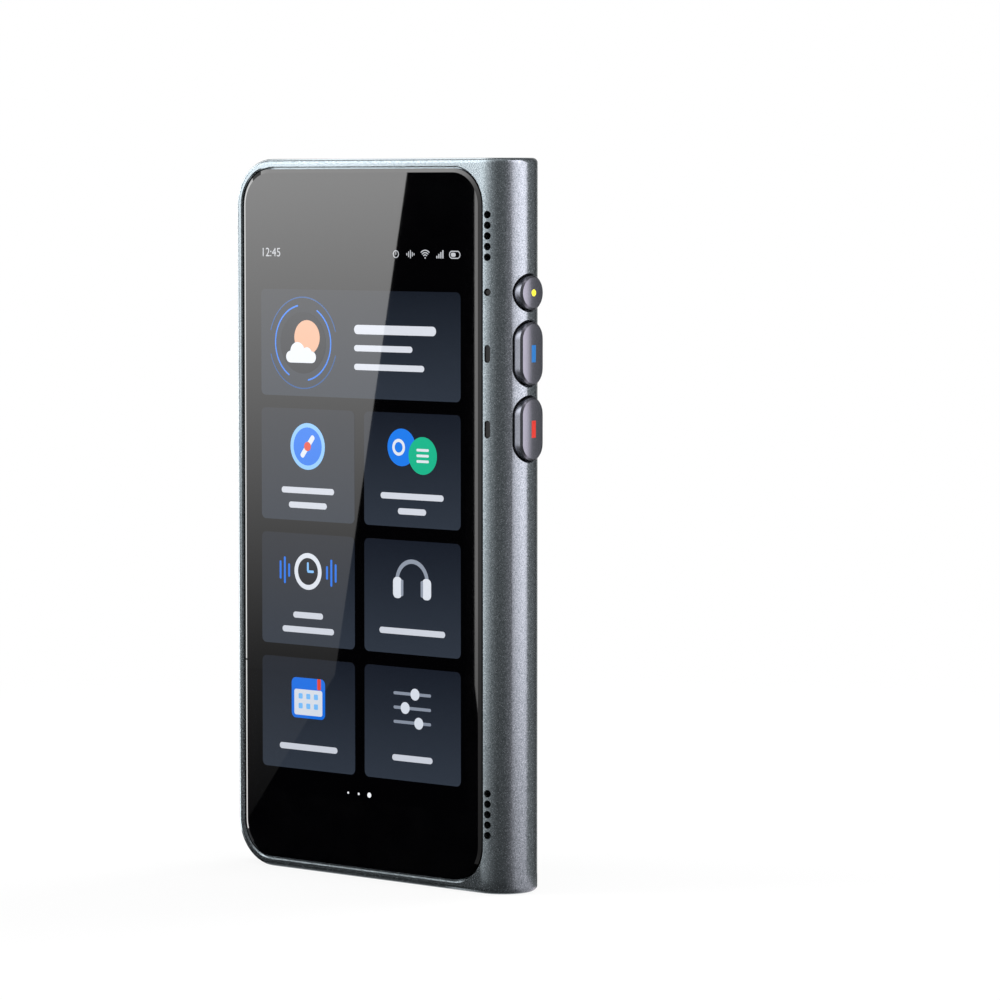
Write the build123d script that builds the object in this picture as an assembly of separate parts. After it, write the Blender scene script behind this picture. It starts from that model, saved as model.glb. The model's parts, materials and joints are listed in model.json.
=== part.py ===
"""Handheld translator: a slim touch-screen slab with a half-round spine down its right edge.

Millimetres. The device stands on its bottom end: +Z runs up to the top end, the screen faces -Y and
the half-round spine with its three push buttons is on the +X side. The origin is the middle of the
bottom end. Each function returns one sub-part, already in place.
"""

import os
from math import cos, radians, sin

from build123d import *

# ---------------------------------------------------------------- driving dimensions
HEIGHT = 116.0  # bottom end to top end
WIDTH = 58.4  # left side to the crest of the spine
THICK = 11.0  # screen to back, also the diameter of the spine
CORNER_R = 7.5  # the two rounded corners, away from the spine
EDGE_R = 0.8  # rounding of every outer edge

R = THICK / 2
LEFT = -WIDTH / 2
SPINE_X = WIDTH / 2 - R  # axis of the half-round spine
FRONT = -R
BACK = R
MID_Z = HEIGHT / 2

# Depth levels, from the screen backwards.
RIM_BACK = FRONT + 1.05  # the metallic front rim ends here
GLASS_BACK = FRONT + 1.1
SHELF_FRONT = GLASS_BACK + 0.2  # the glass is bonded to this shelf
SHELF_BACK = SHELF_FRONT + 1.35
CHASSIS_BACK = SHELF_BACK + 0.5
BOARD_FRONT = -0.25
BOARD_BACK = BOARD_FRONT + 0.8
CELL_BACK = 2.5
CONNECTOR_H = 0.6
FLEX_T = 0.15
FLEX_Y = BOARD_BACK + CONNECTOR_H + FLEX_T / 2  # a flexible circuit plugged in from behind
COVER_FRONT = 3.4  # the metallic back cover begins here
FLOOR_FRONT = 3.8  # inside face of the back cover's floor
RECESS = 0.9  # depth of the recess that takes the back plate
PLATE_T = 0.8
PLATE_EDGE = 0.2
SEAM = 0.1  # open joint line at each side of the dark band

# Walls.
WALL = 1.3
END_WALL = 1.5
LIP = 0.6  # thin outer lip of the band, in front of the shelf
SPINE_WALL = 1.2
STRIP_T = 0.6

# Front glass and the opening that it lies in.
RIM_SIDE = 1.4
GLASS_GAP = 0.25
GLASS_BEVEL = (0.2, 0.6)  # drop and width of the ground edge of the glass
OPEN_EDGE = 0.2  # broken edge of the opening
OPEN_RIGHT = SPINE_X + 0.4
OPEN_R = CORNER_R - RIM_SIDE
SHELF_W = 1.6
SCREEN_X = (LEFT + RIM_SIDE + OPEN_RIGHT) / 2
PANEL_W = 48.0
PANEL_Z0 = 11.0
PANEL_Z1 = 105.4

# Back plate: a recess with an even groove round the plate, which wraps onto the spine.
RECESS_SIDE = 0.82
RECESS_END = 1.5
GROOVE = 0.3
RECESS_ANGLE = 40.0  # of its right edge, from straight back round the spine

# Push buttons on the crest of the spine: centre height, length along Z.
BUTTON_W = 5.4
BUTTON_OUT = 0.9  # how far a cap stands above the crest
BUTTON_GAP = 0.25
BUTTON_TRAVEL = 0.4
BUTTON_CROWN = 15.0  # radius of a cap's face, about a line along the device
BUTTON_EDGE = 0.3
POWER_Z = 94.9
BLUE_Z = 85.35
RED_Z = 73.5
ROUND_LEN = BUTTON_W
OVAL_LEN = 9.95
BUTTONS = [(POWER_Z, ROUND_LEN), (BLUE_Z, OVAL_LEN), (RED_Z, OVAL_LEN)]
HOLE_EDGE = 0.12
CAP_TOP_X = WIDTH / 2 + BUTTON_OUT
CAP_WALL = 0.95
CAP_ROOF = 1.2
EAR_X0 = SPINE_X + 2.4
EAR_T = 0.45
EAR_OUT = 0.9  # how far the ears reach past the ends of a cap
MARK_DEEP = 0.45

# Button board in the spine, and the switches on it.
BOARD_X0 = SPINE_X + 0.3
BOARD_T = 0.5
SWITCH_W = 3.0
SWITCH_H = 0.6
PLUNGER_H = 0.2
PLUNGER_TOP = BOARD_X0 + BOARD_T + SWITCH_H + PLUNGER_H

# Volume rocker and card tray on the left side.
SIDE_Y = -1.5
ROCKER_Z = 94.5
ROCKER_LEN = 17.0
ROCKER_W = 1.7
ROCKER_OUT = 0.45
ROCKER_EDGE = 0.2
ROCKER_AXIS_X = LEFT + 2.7
ROCKER_SWITCHES_Z = (ROCKER_Z - 5.2, ROCKER_Z + 5.2)
KEY_BOARD_X = LEFT + 3.3
TRAY_Z = 76.25
TRAY_LEN = 14.3
TRAY_W = 2.2
CARD = (8.8, 12.3, 0.67)
CARRIER_T = 1.1
CARD_SEAT_Y = SIDE_Y - 0.17

# Holes down the front of the spine.
PORT_ANGLE = 14.1  # from straight ahead, round the spine
PORT_R = 0.6
PORT_DEEP = 3.5
PORT_PITCH = 1.66
TOP_PORTS_Z = 103.8
LOW_PORTS_Z = 12.7
POWER_LIGHT_Z = POWER_Z + 0.1
LIGHT_SLOT = (2.8, 1.0)
LAND_BACK = -3.2  # inside face of the thick land that the holes run through

# Camera and flash in the back.
CAM_X = -0.4
CAM_Z = 105.25
FLASH_Z = 97.25
CAM_R = 4.8
FLASH_R = 1.95
FLASH_FOOT = 1.5
WINDOW_R = 4.1
WINDOW_TOP = BACK - 0.3
BARREL_R = 3.4
BARREL_FOOT = 2.0
BARREL_FACE = 4.7
WELL_R = 2.1
LENS_R = 1.1
LENS_SEAT = 3.1

# Charging socket in the bottom end.
USB_X = 0.0
USB_Y = 0.15
USB_W = 8.94
USB_H = 3.2
MIC_X = 9.5

# Screw posts: x, z.
POSTS = [(-24.8, 4.4), (-24.8, HEIGHT - 4.4), (19.7, 3.3), (19.7, HEIGHT - 3.3), (-26.0, 65.4)]
RIB_POST = (20.3, 65.4)
POST_R = 2.2
POST_TOP = 3.0
SCREW_R = 0.65
SCREW_TIP = -1.2
BORE_FOOT = -1.5  # the blind holes for the screws begin here
HEAD_R = 1.25
HEAD_T = 0.6

# Rib: the wall between the spine and the slab, with openings for circuits.
RIB_X = 22.4
RIB_T = 1.0
RIB_WINDOWS_Z = [(8, 24), (32, 58), (72, 108)]
RIB_WINDOWS_Y = (-1.6, 2.4)

# Mid plate: three windows in front of the battery, and stand-offs that carry the boards.
CHASSIS_INSET = 1.7
CHASSIS_WINDOWS_X = (-17.5, -6.5, 4.5)
CHASSIS_WINDOW_W = 8.0
CHASSIS_WINDOW_Z = (24.0, 58.0)
STANDOFFS = [(-11.5, 71.0), (17.0, 71.0), (-13.0, 110.5), (12.5, 110.5), (-18.5, 16.5), (14.5, 16.5)]
STANDOFF_R = 1.3

# Stiffening ribs on the inside of the back cover.
COVER_RIB_H = 0.55
COVER_RIB_T = 0.8
COVER_RIBS_Z = (22, 32, 42, 52, 62)
COVER_RIBS_X = (-18.5, -7.5, 14.5)


# ---------------------------------------------------------------- helpers
def block(x0, x1, y0, y1, z0, z1):
    """A box between two corners."""
    return Pos((x0 + x1) / 2, (y0 + y1) / 2, (z0 + z1) / 2) * Box(x1 - x0, y1 - y0, z1 - z0)


def slab(sketch, y0, y1):
    """A front-view sketch (x, z) given depth from y0 back to y1."""
    return extrude(Plane.XZ.offset(-y1) * sketch, amount=y1 - y0)


def side(sketch, x0, x1):
    """A side-view sketch (y, z) run from x0 to x1."""
    return extrude(Plane.YZ.offset(x0) * sketch, amount=x1 - x0)


def tower(sketch, z0, z1):
    """A plan-view sketch (x, y) run up from z0 to z1."""
    return extrude(Plane.XY.offset(z0) * sketch, amount=z1 - z0)


def rod(x, z, radius, y0, y1):
    """A round rod or hole along the device's depth."""
    return slab(Pos(x, z) * Circle(radius), y0, y1)


def domed_rod(x, z, radius, y0, rim, rise):
    """A rod with a domed rear end, the dome beginning at rim and standing rise above it."""
    ball = (radius**2 + rise**2) / (2 * rise)
    return rod(x, z, radius, y0, rim + rise) & Pos(x, rim + rise - ball, z) * Sphere(ball)


def spun(x, z, profile):
    """A turned piece about an axis along Y; the profile is (radius, y) points."""
    turned = revolve(make_face(Polyline(*profile, close=True)), Axis.Y)
    return Pos(x, 0, z) * turned


def front_rect(x0, x1, z0, z1, r_left=0.0, r_right=0.0):
    """Front-view rectangle with its left and right pairs of corners rounded."""
    mid = (x0 + x1) / 2
    face = Pos(mid, (z0 + z1) / 2) * Rectangle(x1 - x0, z1 - z0)
    if r_left:
        face = fillet([v for v in face.vertices() if v.X < mid], r_left)
    if r_right:
        face = fillet([v for v in face.vertices() if v.X > mid], r_right)
    return face


def outline(inset, right=SPINE_X):
    """The device's front view, drawn in by an inset, as far as the spine."""
    return front_rect(LEFT + inset, right, inset, HEIGHT - inset, CORNER_R - inset)


def opening(shrink):
    """The front opening for the glass, drawn in by shrink."""
    return front_rect(
        LEFT + RIM_SIDE + shrink,
        OPEN_RIGHT - shrink,
        RIM_SIDE + shrink,
        HEIGHT - RIM_SIDE - shrink,
        OPEN_R - shrink,
        OPEN_R - shrink,
    )


def slot(y, z, length, width):
    """Side-view slot with its long way up."""
    return Pos(y, z) * Rot(0, 0, 90) * SlotOverall(length, width)


def spine_point(angle, radius, y_sign):
    """A point round the spine's axis, its angle taken from straight ahead or straight back."""
    return (SPINE_X + radius * sin(radians(angle)), y_sign * radius * cos(radians(angle)))


def port_plane(z, radius):
    """A plane square to the spine's skin at the row of front holes; its x runs up the device."""
    a = radians(PORT_ANGLE)
    outward = (sin(a), -cos(a), 0)
    return Plane(origin=(SPINE_X, 0, z), x_dir=(0, 0, 1), z_dir=outward).offset(radius)


def drilled(sketch, z, r0, r1):
    """A sketch run outwards through the spine's front skin from radius r0 to r1."""
    return extrude(port_plane(z, r0) * sketch, amount=r1 - r0)


# ---------------------------------------------------------------- the outer form
def d_section(inset):
    """Cross-section of the device: a flat slab that ends in the half-round spine."""
    r = R - inset
    flats = Polyline((SPINE_X, r), (LEFT, r), (LEFT, -r), (SPINE_X, -r))
    crest = ThreePointArc((SPINE_X, -r), (SPINE_X + r, 0), (SPINE_X, r))
    return make_face(flats + crest)


def core(inset):
    """The D section drawn in from the skin, run past both ends."""
    return tower(d_section(inset), -1, HEIGHT + 1)


def outer_form():
    """The device's outside, with every outer edge rounded."""
    form = tower(d_section(0), 0, HEIGHT) & slab(outline(0, WIDTH / 2 + 1), FRONT - 1, BACK + 1)

    def runs_through(edge):
        along_y = abs(edge.tangent_at(0.5).Y) > 0.999
        on_crest_join = abs(edge.center().X - SPINE_X) < 0.01 and abs(edge.tangent_at(0.5).Z) > 0.999
        return along_y or on_crest_join

    return fillet([e for e in form.edges() if not runs_through(e)], EDGE_R)


OUTER = outer_form()


def plate_region(inset):
    """All that lies behind the plate's outline, whose right edge is some way round the spine."""
    right = spine_point(RECESS_ANGLE, R, 1)[0] - inset
    face = front_rect(
        LEFT + RECESS_SIDE + inset,
        right,
        RECESS_END + inset,
        HEIGHT - RECESS_END - inset,
        CORNER_R - RECESS_SIDE - inset,
        CORNER_R - RECESS_END - inset,
    )
    return slab(face, 0, BACK + 1)


def recess():
    """The shallow recess that the back plate lies in."""
    return plate_region(0) - core(RECESS)


# ---------------------------------------------------------------- casings
def spine_cavity():
    """The hollow inside the spine, narrower behind, where the back plate is let in."""
    front_r = R - SPINE_WALL
    rear_r = R - RECESS - 0.75
    section = Pos(SPINE_X, 0) * Circle(rear_r)
    front_half = Pos(SPINE_X, 0) * Circle(front_r) & Pos(SPINE_X, 0.5 - R) * Rectangle(THICK, THICK)
    return tower(section + front_half, END_WALL, HEIGHT - END_WALL)


def ports(centre_z):
    """Five sound holes in a row, square to the skin."""
    return [drilled(Circle(PORT_R), centre_z + i * PORT_PITCH, R - PORT_DEEP, R + 1) for i in range(-2, 3)]


def button_cut(z, length):
    """The hole that a button cap works in."""
    return side(slot(0, z, length + 2 * BUTTON_GAP, BUTTON_W + 2 * BUTTON_GAP), SPINE_X + 1.0, WIDTH)


def glass_seat():
    """The stepped opening that the glass lies in, with a broken front edge."""
    mouth = slab(opening(0), FRONT - 1, SHELF_FRONT) + slab(opening(SHELF_W), FRONT - 1, SHELF_BACK + 0.01)
    edge = loft([Plane.XZ.offset(-y) * opening(shrink) for y, shrink in ((FRONT, -OPEN_EDGE), (FRONT + OPEN_EDGE, 0))])
    return mouth + edge


def spine_wall():
    """The hollow half-round spine, with the holes for the buttons and their broken edges."""
    spine = OUTER & block(SPINE_X, WIDTH, FRONT - 1, BACK + 1, -1, HEIGHT + 1)
    spine -= spine_cavity()
    for z, length in BUTTONS:
        spine -= button_cut(z, length)
    return chamfer([e for e in spine.edges() if rings_a_button(e)], HOLE_EDGE)


def rings_a_button(edge):
    """Whether an edge lies on the spine's skin, round the hole of a button."""
    points = [edge.position_at(t) for t in (0, 0.5, 1)]
    on_skin = all(abs((p - Vector(SPINE_X, 0, p.Z)).length - R) < 0.001 for p in points)
    clear_of_ends = all(2 < p.Z < HEIGHT - 2 and abs(p.Y) < BUTTON_W for p in points)
    return on_skin and clear_of_ends


def front_frame():
    """Front rim, glass shelf and the whole spine, moulded in one piece."""
    everything = Pos(0, MID_Z) * Rectangle(WIDTH * 2, HEIGHT * 2)
    rim = OUTER & slab(everything, FRONT - 1, RIM_BACK)
    flange = slab(outline(LIP + 0.05, RIB_X + RIB_T), RIM_BACK, SHELF_BACK)
    frame = rim + spine_wall() + flange

    land = block(OPEN_RIGHT - SHELF_W, SPINE_X + 2.2, GLASS_BACK - 0.2, LAND_BACK, END_WALL, HEIGHT - END_WALL)
    rib = block(RIB_X, RIB_X + RIB_T, SHELF_BACK - 0.1, COVER_FRONT - 0.1, END_WALL, HEIGHT - END_WALL)
    boss = rod(*RIB_POST, POST_R, CHASSIS_BACK + 0.05, POST_TOP)
    boss += block(RIB_POST[0], RIB_X + 0.5, CHASSIS_BACK + 0.05, POST_TOP, RIB_POST[1] - 1, RIB_POST[1] + 1)
    windows = [block(RIB_X - 1, RIB_X + 2, *RIB_WINDOWS_Y, z0, z1) for z0, z1 in RIB_WINDOWS_Z]
    frame += land + rib + boss
    frame -= windows

    frame -= glass_seat()
    frame -= recess()
    frame -= ports(TOP_PORTS_Z) + ports(LOW_PORTS_Z)
    frame -= drilled(Circle(PORT_R), POWER_LIGHT_Z, R - PORT_DEEP, R + 1)
    for z in (BLUE_Z, RED_Z):
        frame -= drilled(SlotOverall(*LIGHT_SLOT), z, R - PORT_DEEP, R + 1)
    frame -= rod(*RIB_POST, SCREW_R, BORE_FOOT, POST_TOP + 1)
    return frame


def side_cuts():
    """Openings through the left side: the rocker's slot and the card tray's slot."""
    rocker = side(slot(SIDE_Y, ROCKER_Z, ROCKER_LEN + 0.4, ROCKER_W + 0.24), LEFT - 1, LEFT + 3)
    tray = side(slot(SIDE_Y, TRAY_Z, TRAY_LEN + 0.2, TRAY_W + 0.2), LEFT - 1, LEFT + 3)
    return rocker + tray


def strip_region(gap):
    """The outer skin of the left side between the two rounded corners."""
    return block(
        LEFT, LEFT + STRIP_T, RIM_BACK + SEAM, COVER_FRONT - SEAM, CORNER_R - gap, HEIGHT - CORNER_R + gap
    )


def side_band():
    """Dark band round the left side and both ends, with the screw posts inside."""
    y0, y1 = RIM_BACK + SEAM, COVER_FRONT - SEAM
    band = OUTER & block(LEFT - 1, SPINE_X, y0, y1, -1, HEIGHT + 1)
    band -= slab(outline(WALL, SPINE_X + 1), y0 - 1, y1 + 1)
    band -= slab(outline(LIP, SPINE_X + 1), y0 - 1, SHELF_BACK + 0.05)
    posts = [rod(x, z, POST_R, CHASSIS_BACK + 0.05, POST_TOP) for x, z in POSTS]
    band += Part() + posts
    band -= strip_region(0.05)
    band -= side_cuts()
    band -= [rod(x, z, SCREW_R, BORE_FOOT, POST_TOP + 1) for x, z in POSTS]
    band -= tower(Pos(USB_X, USB_Y) * SlotOverall(USB_W + 0.2, USB_H + 0.2), -1, WALL + 1)
    band -= tower(Pos(MIC_X, USB_Y) * Circle(0.5), -1, WALL + 1)
    return band


def side_strip():
    """Flat dark strip let into the band's left side, between the corners."""
    strip = strip_region(0) - side_cuts()
    return strip


def back_cover():
    """Metallic rear tray: outer rim, recess floor, locating lip, bosses and stiffening ribs."""
    cover = OUTER & block(LEFT - 1, SPINE_X, COVER_FRONT, BACK + 1, -1, HEIGHT + 1)
    cover -= slab(outline(WALL, SPINE_X + 1), COVER_FRONT - 1, FLOOR_FRONT)
    lip = slab(outline(WALL + 0.08, RIB_X - 0.3), COVER_FRONT - 0.9, FLOOR_FRONT)
    lip -= slab(outline(WALL + 0.9, RIB_X - 1.1), COVER_FRONT - 1.9, FLOOR_FRONT + 1)
    keep_clear = [rod(x, z, POST_R + 0.1, COVER_FRONT - 2, POST_TOP) for x, z in POSTS + [RIB_POST]]
    lip -= keep_clear
    inside = slab(outline(WALL + 0.08, RIB_X - 0.1), POST_TOP, FLOOR_FRONT)
    bosses = [rod(x, z, POST_R, POST_TOP, FLOOR_FRONT) & inside for x, z in POSTS + [RIB_POST]]
    y0, y1 = FLOOR_FRONT - COVER_RIB_H, FLOOR_FRONT
    ribs = [block(-26.5, RIB_X - 0.5, y0, y1, z, z + COVER_RIB_T) for z in COVER_RIBS_Z]
    ribs += [block(x, x + COVER_RIB_T, y0, y1, 20, 64) for x in COVER_RIBS_X]
    cover += lip + bosses + ribs
    cover -= recess()
    for x, z in POSTS + [RIB_POST]:
        cover -= rod(x, z, SCREW_R + 0.15, POST_TOP - 1, BACK)
        cover -= rod(x, z, HEAD_R + 0.15, FLOOR_FRONT, BACK)
    cover -= rod(CAM_X, CAM_Z, 3.7, POST_TOP, BACK)
    cover -= rod(CAM_X, FLASH_Z, 1.65, POST_TOP, BACK)
    return cover


def back_plate():
    """Cosmetic plate in the recess; its right edge wraps onto the spine."""
    plate = (plate_region(GROOVE) & core(0)) - core(PLATE_T)
    plate -= rod(CAM_X, CAM_Z, CAM_R + 0.08, 0, BACK + 1)
    plate -= rod(CAM_X, FLASH_Z, FLASH_R + 0.06, 0, BACK + 1)

    def on_skin(edge):
        middle, end = edge.position_at(0.5), edge.position_at(0)
        on_flat = min(middle.Y, end.Y) > BACK - 0.001
        on_spine = middle.X > SPINE_X and abs((middle - Vector(SPINE_X, 0, middle.Z)).length - R) < 0.001
        tangent_line = abs(middle.X - SPINE_X) < 0.001 and abs(edge.tangent_at(0.5).Z) > 0.999
        return (on_flat or on_spine) and not tangent_line

    return chamfer([e for e in plate.edges() if on_skin(e)], PLATE_EDGE)


def plate_adhesive():
    """Thin bonding sheet between the back plate and the recess floor."""
    sheet = front_rect(LEFT + 3, SPINE_X - 1, 4, HEIGHT - 4, 4.5, 2)
    holes = rod(CAM_X, CAM_Z, CAM_R + 0.5, 0, BACK) + rod(CAM_X, FLASH_Z, FLASH_R + 0.5, 0, BACK)
    return slab(sheet, BACK - RECESS, BACK - PLATE_T) - holes


# ---------------------------------------------------------------- screen
def cover_glass():
    """Front glass with a shallow bevel ground round its front edge."""
    glass = slab(opening(GLASS_GAP), FRONT, GLASS_BACK)
    front = glass.faces().sort_by(Axis.Y)[0]
    rim = [e for e in glass.edges() if abs(e.center().Y - FRONT) < 0.001]
    drop, width = GLASS_BEVEL
    return chamfer(rim, width, drop, reference=front)


def glass_adhesive():
    """Gasket of tape that holds the glass on its shelf."""
    return slab(opening(GLASS_GAP + 0.1) - opening(SHELF_W - 0.1), GLASS_BACK, SHELF_FRONT)


def display_panel():
    """The display's glass cell, bonded to the back of the cover glass."""
    half = PANEL_W / 2
    return slab(front_rect(SCREEN_X - half, SCREEN_X + half, PANEL_Z0, PANEL_Z1, 1, 1), GLASS_BACK, GLASS_BACK + 0.8)


def backlight_tray():
    """Backlight in its folded steel tray, behind the cell."""
    half = PANEL_W / 2
    tray = slab(
        front_rect(SCREEN_X - half, SCREEN_X + half, PANEL_Z0, PANEL_Z1, 1, 1), GLASS_BACK + 0.8, SHELF_BACK
    )
    back = [e for e in tray.edges() if abs(e.center().Y - SHELF_BACK) < 0.001]
    return chamfer(back, 0.2)


def ribbon(points, radius, x0, x1):
    """A flat flexible circuit that runs along (y, z) points and is wide across X."""
    path = FilletPolyline(*points, radius=radius)
    return side(trace(path, line_width=FLEX_T), x0, x1)


def display_flex():
    """The display's ribbon, folded round through the chassis window to the lower board."""
    board_y = BOARD_FRONT - FLEX_T / 2
    points = [(-4.0, PANEL_Z0), (-4.0, 8.4), (board_y, 8.4), (board_y, 16.0)]
    return ribbon(points, 0.7, -7.0, 7.0)


def chassis_plate():
    """Pressed mid plate: carries the display in front and the boards and battery behind."""
    face = outline(CHASSIS_INSET, RIB_X - 0.2)
    for x in CHASSIS_WINDOWS_X:
        face -= front_rect(x, x + CHASSIS_WINDOW_W, *CHASSIS_WINDOW_Z)
    face -= front_rect(-8, 8, 6.6, 10)  # the display's ribbon passes here
    face -= front_rect(LEFT, LEFT + 3.2, 84, 105)  # clear of the rocker's board
    plate = slab(face, SHELF_BACK, CHASSIS_BACK)
    for x, z in STANDOFFS:
        plate += rod(x, z, STANDOFF_R, CHASSIS_BACK - 0.1, BOARD_FRONT)
    return plate


# ---------------------------------------------------------------- power and boards
def battery():
    """Flat pouch cell with soft long edges."""
    cell = block(-27.0, RIB_X - 0.6, CHASSIS_BACK + 0.1, CELL_BACK, 19.6, 62.4)
    return fillet(cell.edges().filter_by(Axis.X), 1.6)


def main_board():
    """Upper circuit board, cut away round the posts, the side keys and the camera."""
    board = front_rect(-27.2, RIB_X - 0.4, 69, 114, 1, 1)
    for x, z in POSTS:
        board -= Pos(x, z) * Circle(POST_R + 0.3)
    board -= Pos(-27.2, ROCKER_Z) * Rectangle(2.6, 20)
    board -= Pos(CAM_X, CAM_Z) * Rectangle(9.2, 9.2)
    board -= Pos(-27.5, 113.5) * Rectangle(7, 6)
    return slab(board, BOARD_FRONT, BOARD_BACK)


def sub_board():
    """Lower circuit board for the charging socket, microphone and motor."""
    board = front_rect(-21.5, RIB_X - 0.4, 2.0, 18.6, 1, 1)
    for x, z in POSTS:
        board -= Pos(x, z) * Circle(POST_R + 0.3)
    board -= Pos(USB_X, 4.0) * Rectangle(USB_W + 0.6, 10.4)
    return slab(board, BOARD_FRONT, BOARD_BACK)


def shield(x0, x1, z0, z1, y0, y1, open_back):
    """A drawn steel can, open on the side that faces its board."""
    can = block(x0, x1, y0, y1, z0, z1)
    can = fillet(can.edges().filter_by(Axis.Y), 0.8)
    t = 0.2
    inner_y = (y0 + t, y1 + 1) if open_back else (y0 - 1, y1 - t)
    can -= block(x0 + t, x1 - t, inner_y[0], inner_y[1], z0 + t, z1 - t)
    return can


def shield_front():
    """Screening can on the screen side of the upper board."""
    return shield(-10.5, 9.5, 74, 98.5, CHASSIS_BACK + 0.2, BOARD_FRONT, True)


def shield_back():
    """Screening can on the back of the upper board."""
    return shield(-22, 18, 72.5, 93.5, BOARD_BACK, BOARD_BACK + 1.7, False)


def board_connectors():
    """Low board-to-board connectors on the backs of the two boards."""
    places = [(4.0, 12.0, 69.4, 71.8), (4.0, 12.0, 12.6, 15.0), (-6.0, 0.0, 69.4, 71.8)]
    return [block(x0, x1, BOARD_BACK, BOARD_BACK + CONNECTOR_H, z0, z1) for x0, x1, z0, z1 in places]


def battery_lead():
    """Short ribbon from the top of the cell to its connector."""
    return ribbon([(0.15, 62.4), (0.15, 65.6), (FLEX_Y, 68.2), (FLEX_Y, 71.6)], 0.8, -5.5, -0.5)


def board_flex():
    """Ribbon behind the battery that joins the upper and lower boards."""
    over = CELL_BACK + 0.35
    points = [(FLEX_Y, 12.8), (FLEX_Y, 15.6), (over, 18.2), (over, 65.4), (FLEX_Y, 68.2), (FLEX_Y, 71.6)]
    return ribbon(points, 1.2, 4.5, 11.5)


def antenna_flex():
    """Bent antenna trace on the inside of the back cover, left of the camera."""
    y0, y1 = FLOOR_FRONT - 0.12, FLOOR_FRONT
    trace_pieces = [(-21, -7, 110, 111.4), (-8.4, -7, 100, 111.4), (-21, -7, 100, 101.4), (-21, -19.6, 95, 101.4)]
    sheet = Part() + [block(x0, x1, y0, y1, z0, z1) for x0, x1, z0, z1 in trace_pieces]
    return sheet


# ---------------------------------------------------------------- camera and flash
def camera_module():
    """Square camera body through the board, with a round barrel that has a stepped well for the lens."""
    half = 4.3
    body = block(CAM_X - half, CAM_X + half, CHASSIS_BACK + 0.1, BARREL_FOOT, CAM_Z - half, CAM_Z + half)
    body = chamfer(body.edges().filter_by(Axis.Y), 0.5)
    profile = [
        (0, BARREL_FOOT),
        (BARREL_R, BARREL_FOOT),
        (BARREL_R, BARREL_FACE),
        (WELL_R, BARREL_FACE),
        (WELL_R - 0.15, LENS_SEAT + 0.5),
        (LENS_R + 0.03, LENS_SEAT + 0.3),
        (LENS_R + 0.03, LENS_SEAT),
        (0, LENS_SEAT),
    ]
    return body + spun(CAM_X, CAM_Z, profile)


def camera_lens():
    """Front lens element, domed, at the bottom of the barrel's well."""
    return domed_rod(CAM_X, CAM_Z, LENS_R, LENS_SEAT, LENS_SEAT + 0.15, 0.35)


def camera_ring():
    """Turned trim ring: a polished cone that runs down to the window, and a ledge under it."""
    foot, ledge = BACK - RECESS, BACK - RECESS + 0.2
    profile = [
        (BARREL_R + 0.1, foot),
        (CAM_R, foot),
        (CAM_R, BACK - 0.1),
        (CAM_R - 0.1, BACK - 0.02),
        (WINDOW_R + 0.02, WINDOW_TOP),
        (WINDOW_R + 0.02, ledge),
        (BARREL_R + 0.1, ledge),
    ]
    return spun(CAM_X, CAM_Z, profile)


def camera_window():
    """Round cover glass at the foot of the ring's cone."""
    y0 = BACK - RECESS + 0.2
    return spun(CAM_X, CAM_Z, [(0, y0), (WINDOW_R, y0), (WINDOW_R, WINDOW_TOP), (0, WINDOW_TOP)])


def flash_window():
    """Clear flash lens with a crowned face, sunk a little, and a stem that reaches down to the lamp."""
    seat = BACK - RECESS
    stem = rod(CAM_X, FLASH_Z, FLASH_R - 0.45, FLASH_FOOT, seat)
    return stem + domed_rod(CAM_X, FLASH_Z, FLASH_R, seat, BACK - 0.45, 0.3)


def flash_led():
    """Square lamp on the upper board, under the flash lens."""
    return block(CAM_X - 1.2, CAM_X + 1.2, BOARD_BACK, BOARD_BACK + 0.8, FLASH_Z - 1.2, FLASH_Z + 1.2)


# ---------------------------------------------------------------- bottom end
def usb_socket():
    """Drawn steel shell of the charging socket, closed at its inner end."""
    outer = tower(Pos(USB_X, USB_Y) * SlotOverall(USB_W, USB_H), 0.35, 7.6)
    inner = tower(Pos(USB_X, USB_Y) * SlotOverall(USB_W - 0.6, USB_H - 0.6), -1, 7.0)
    return outer - inner


def usb_tongue():
    """Contact tongue in the middle of the socket."""
    tongue = block(USB_X - 3.3, USB_X + 3.3, USB_Y - 0.35, USB_Y + 0.35, 1.3, 7.0)
    return fillet(tongue.edges().filter_by(Axis.Y).group_by(Axis.Z)[0], 0.6)


def usb_gasket():
    """Soft seal round the socket, behind the end wall."""
    ring = SlotOverall(USB_W + 1.4, USB_H + 1.4) - SlotOverall(USB_W + 0.04, USB_H + 0.04)
    return tower(Pos(USB_X, USB_Y) * ring, WALL, WALL + 0.65)


def bottom_microphone():
    """Microphone can on the lower board, behind its hole."""
    return block(MIC_X - 1.5, MIC_X + 1.5, BOARD_FRONT - 1.1, BOARD_FRONT, 2.3, 5.0)


def vibration_motor():
    """Coin motor on the screen side of the lower board."""
    motor = rod(-14.0, 9.5, 4.0, CHASSIS_BACK + 0.15, BOARD_FRONT)
    return chamfer(motor.edges().group_by(Axis.Y)[0], 0.3)


# ---------------------------------------------------------------- inside the spine
def speaker(centre_z):
    """Box speaker in the spine, its cone facing the sound holes."""
    z0, z1 = centre_z - 6.4, centre_z + 6.4
    y0, y1 = LAND_BACK + 0.15, 2.2
    x0, x1 = RIB_X + 1.1, SPINE_X + 2.8
    box = block(x0, x1, y0, y1, z0, z1)
    box = fillet(box.edges().filter_by(Axis.Y), 0.6)
    x_mid = (x0 + x1) / 2
    return box - slab(front_rect(x_mid - 1.1, x_mid + 1.1, z0 + 1, z1 - 1, 1, 1), y0 - 1, y0 + 0.5)


def top_speaker():
    """Speaker behind the upper row of holes."""
    return speaker(TOP_PORTS_Z + 2.0)


def bottom_speaker():
    """Speaker behind the lower row of holes."""
    return speaker(LOW_PORTS_Z - 1.5)


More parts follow.
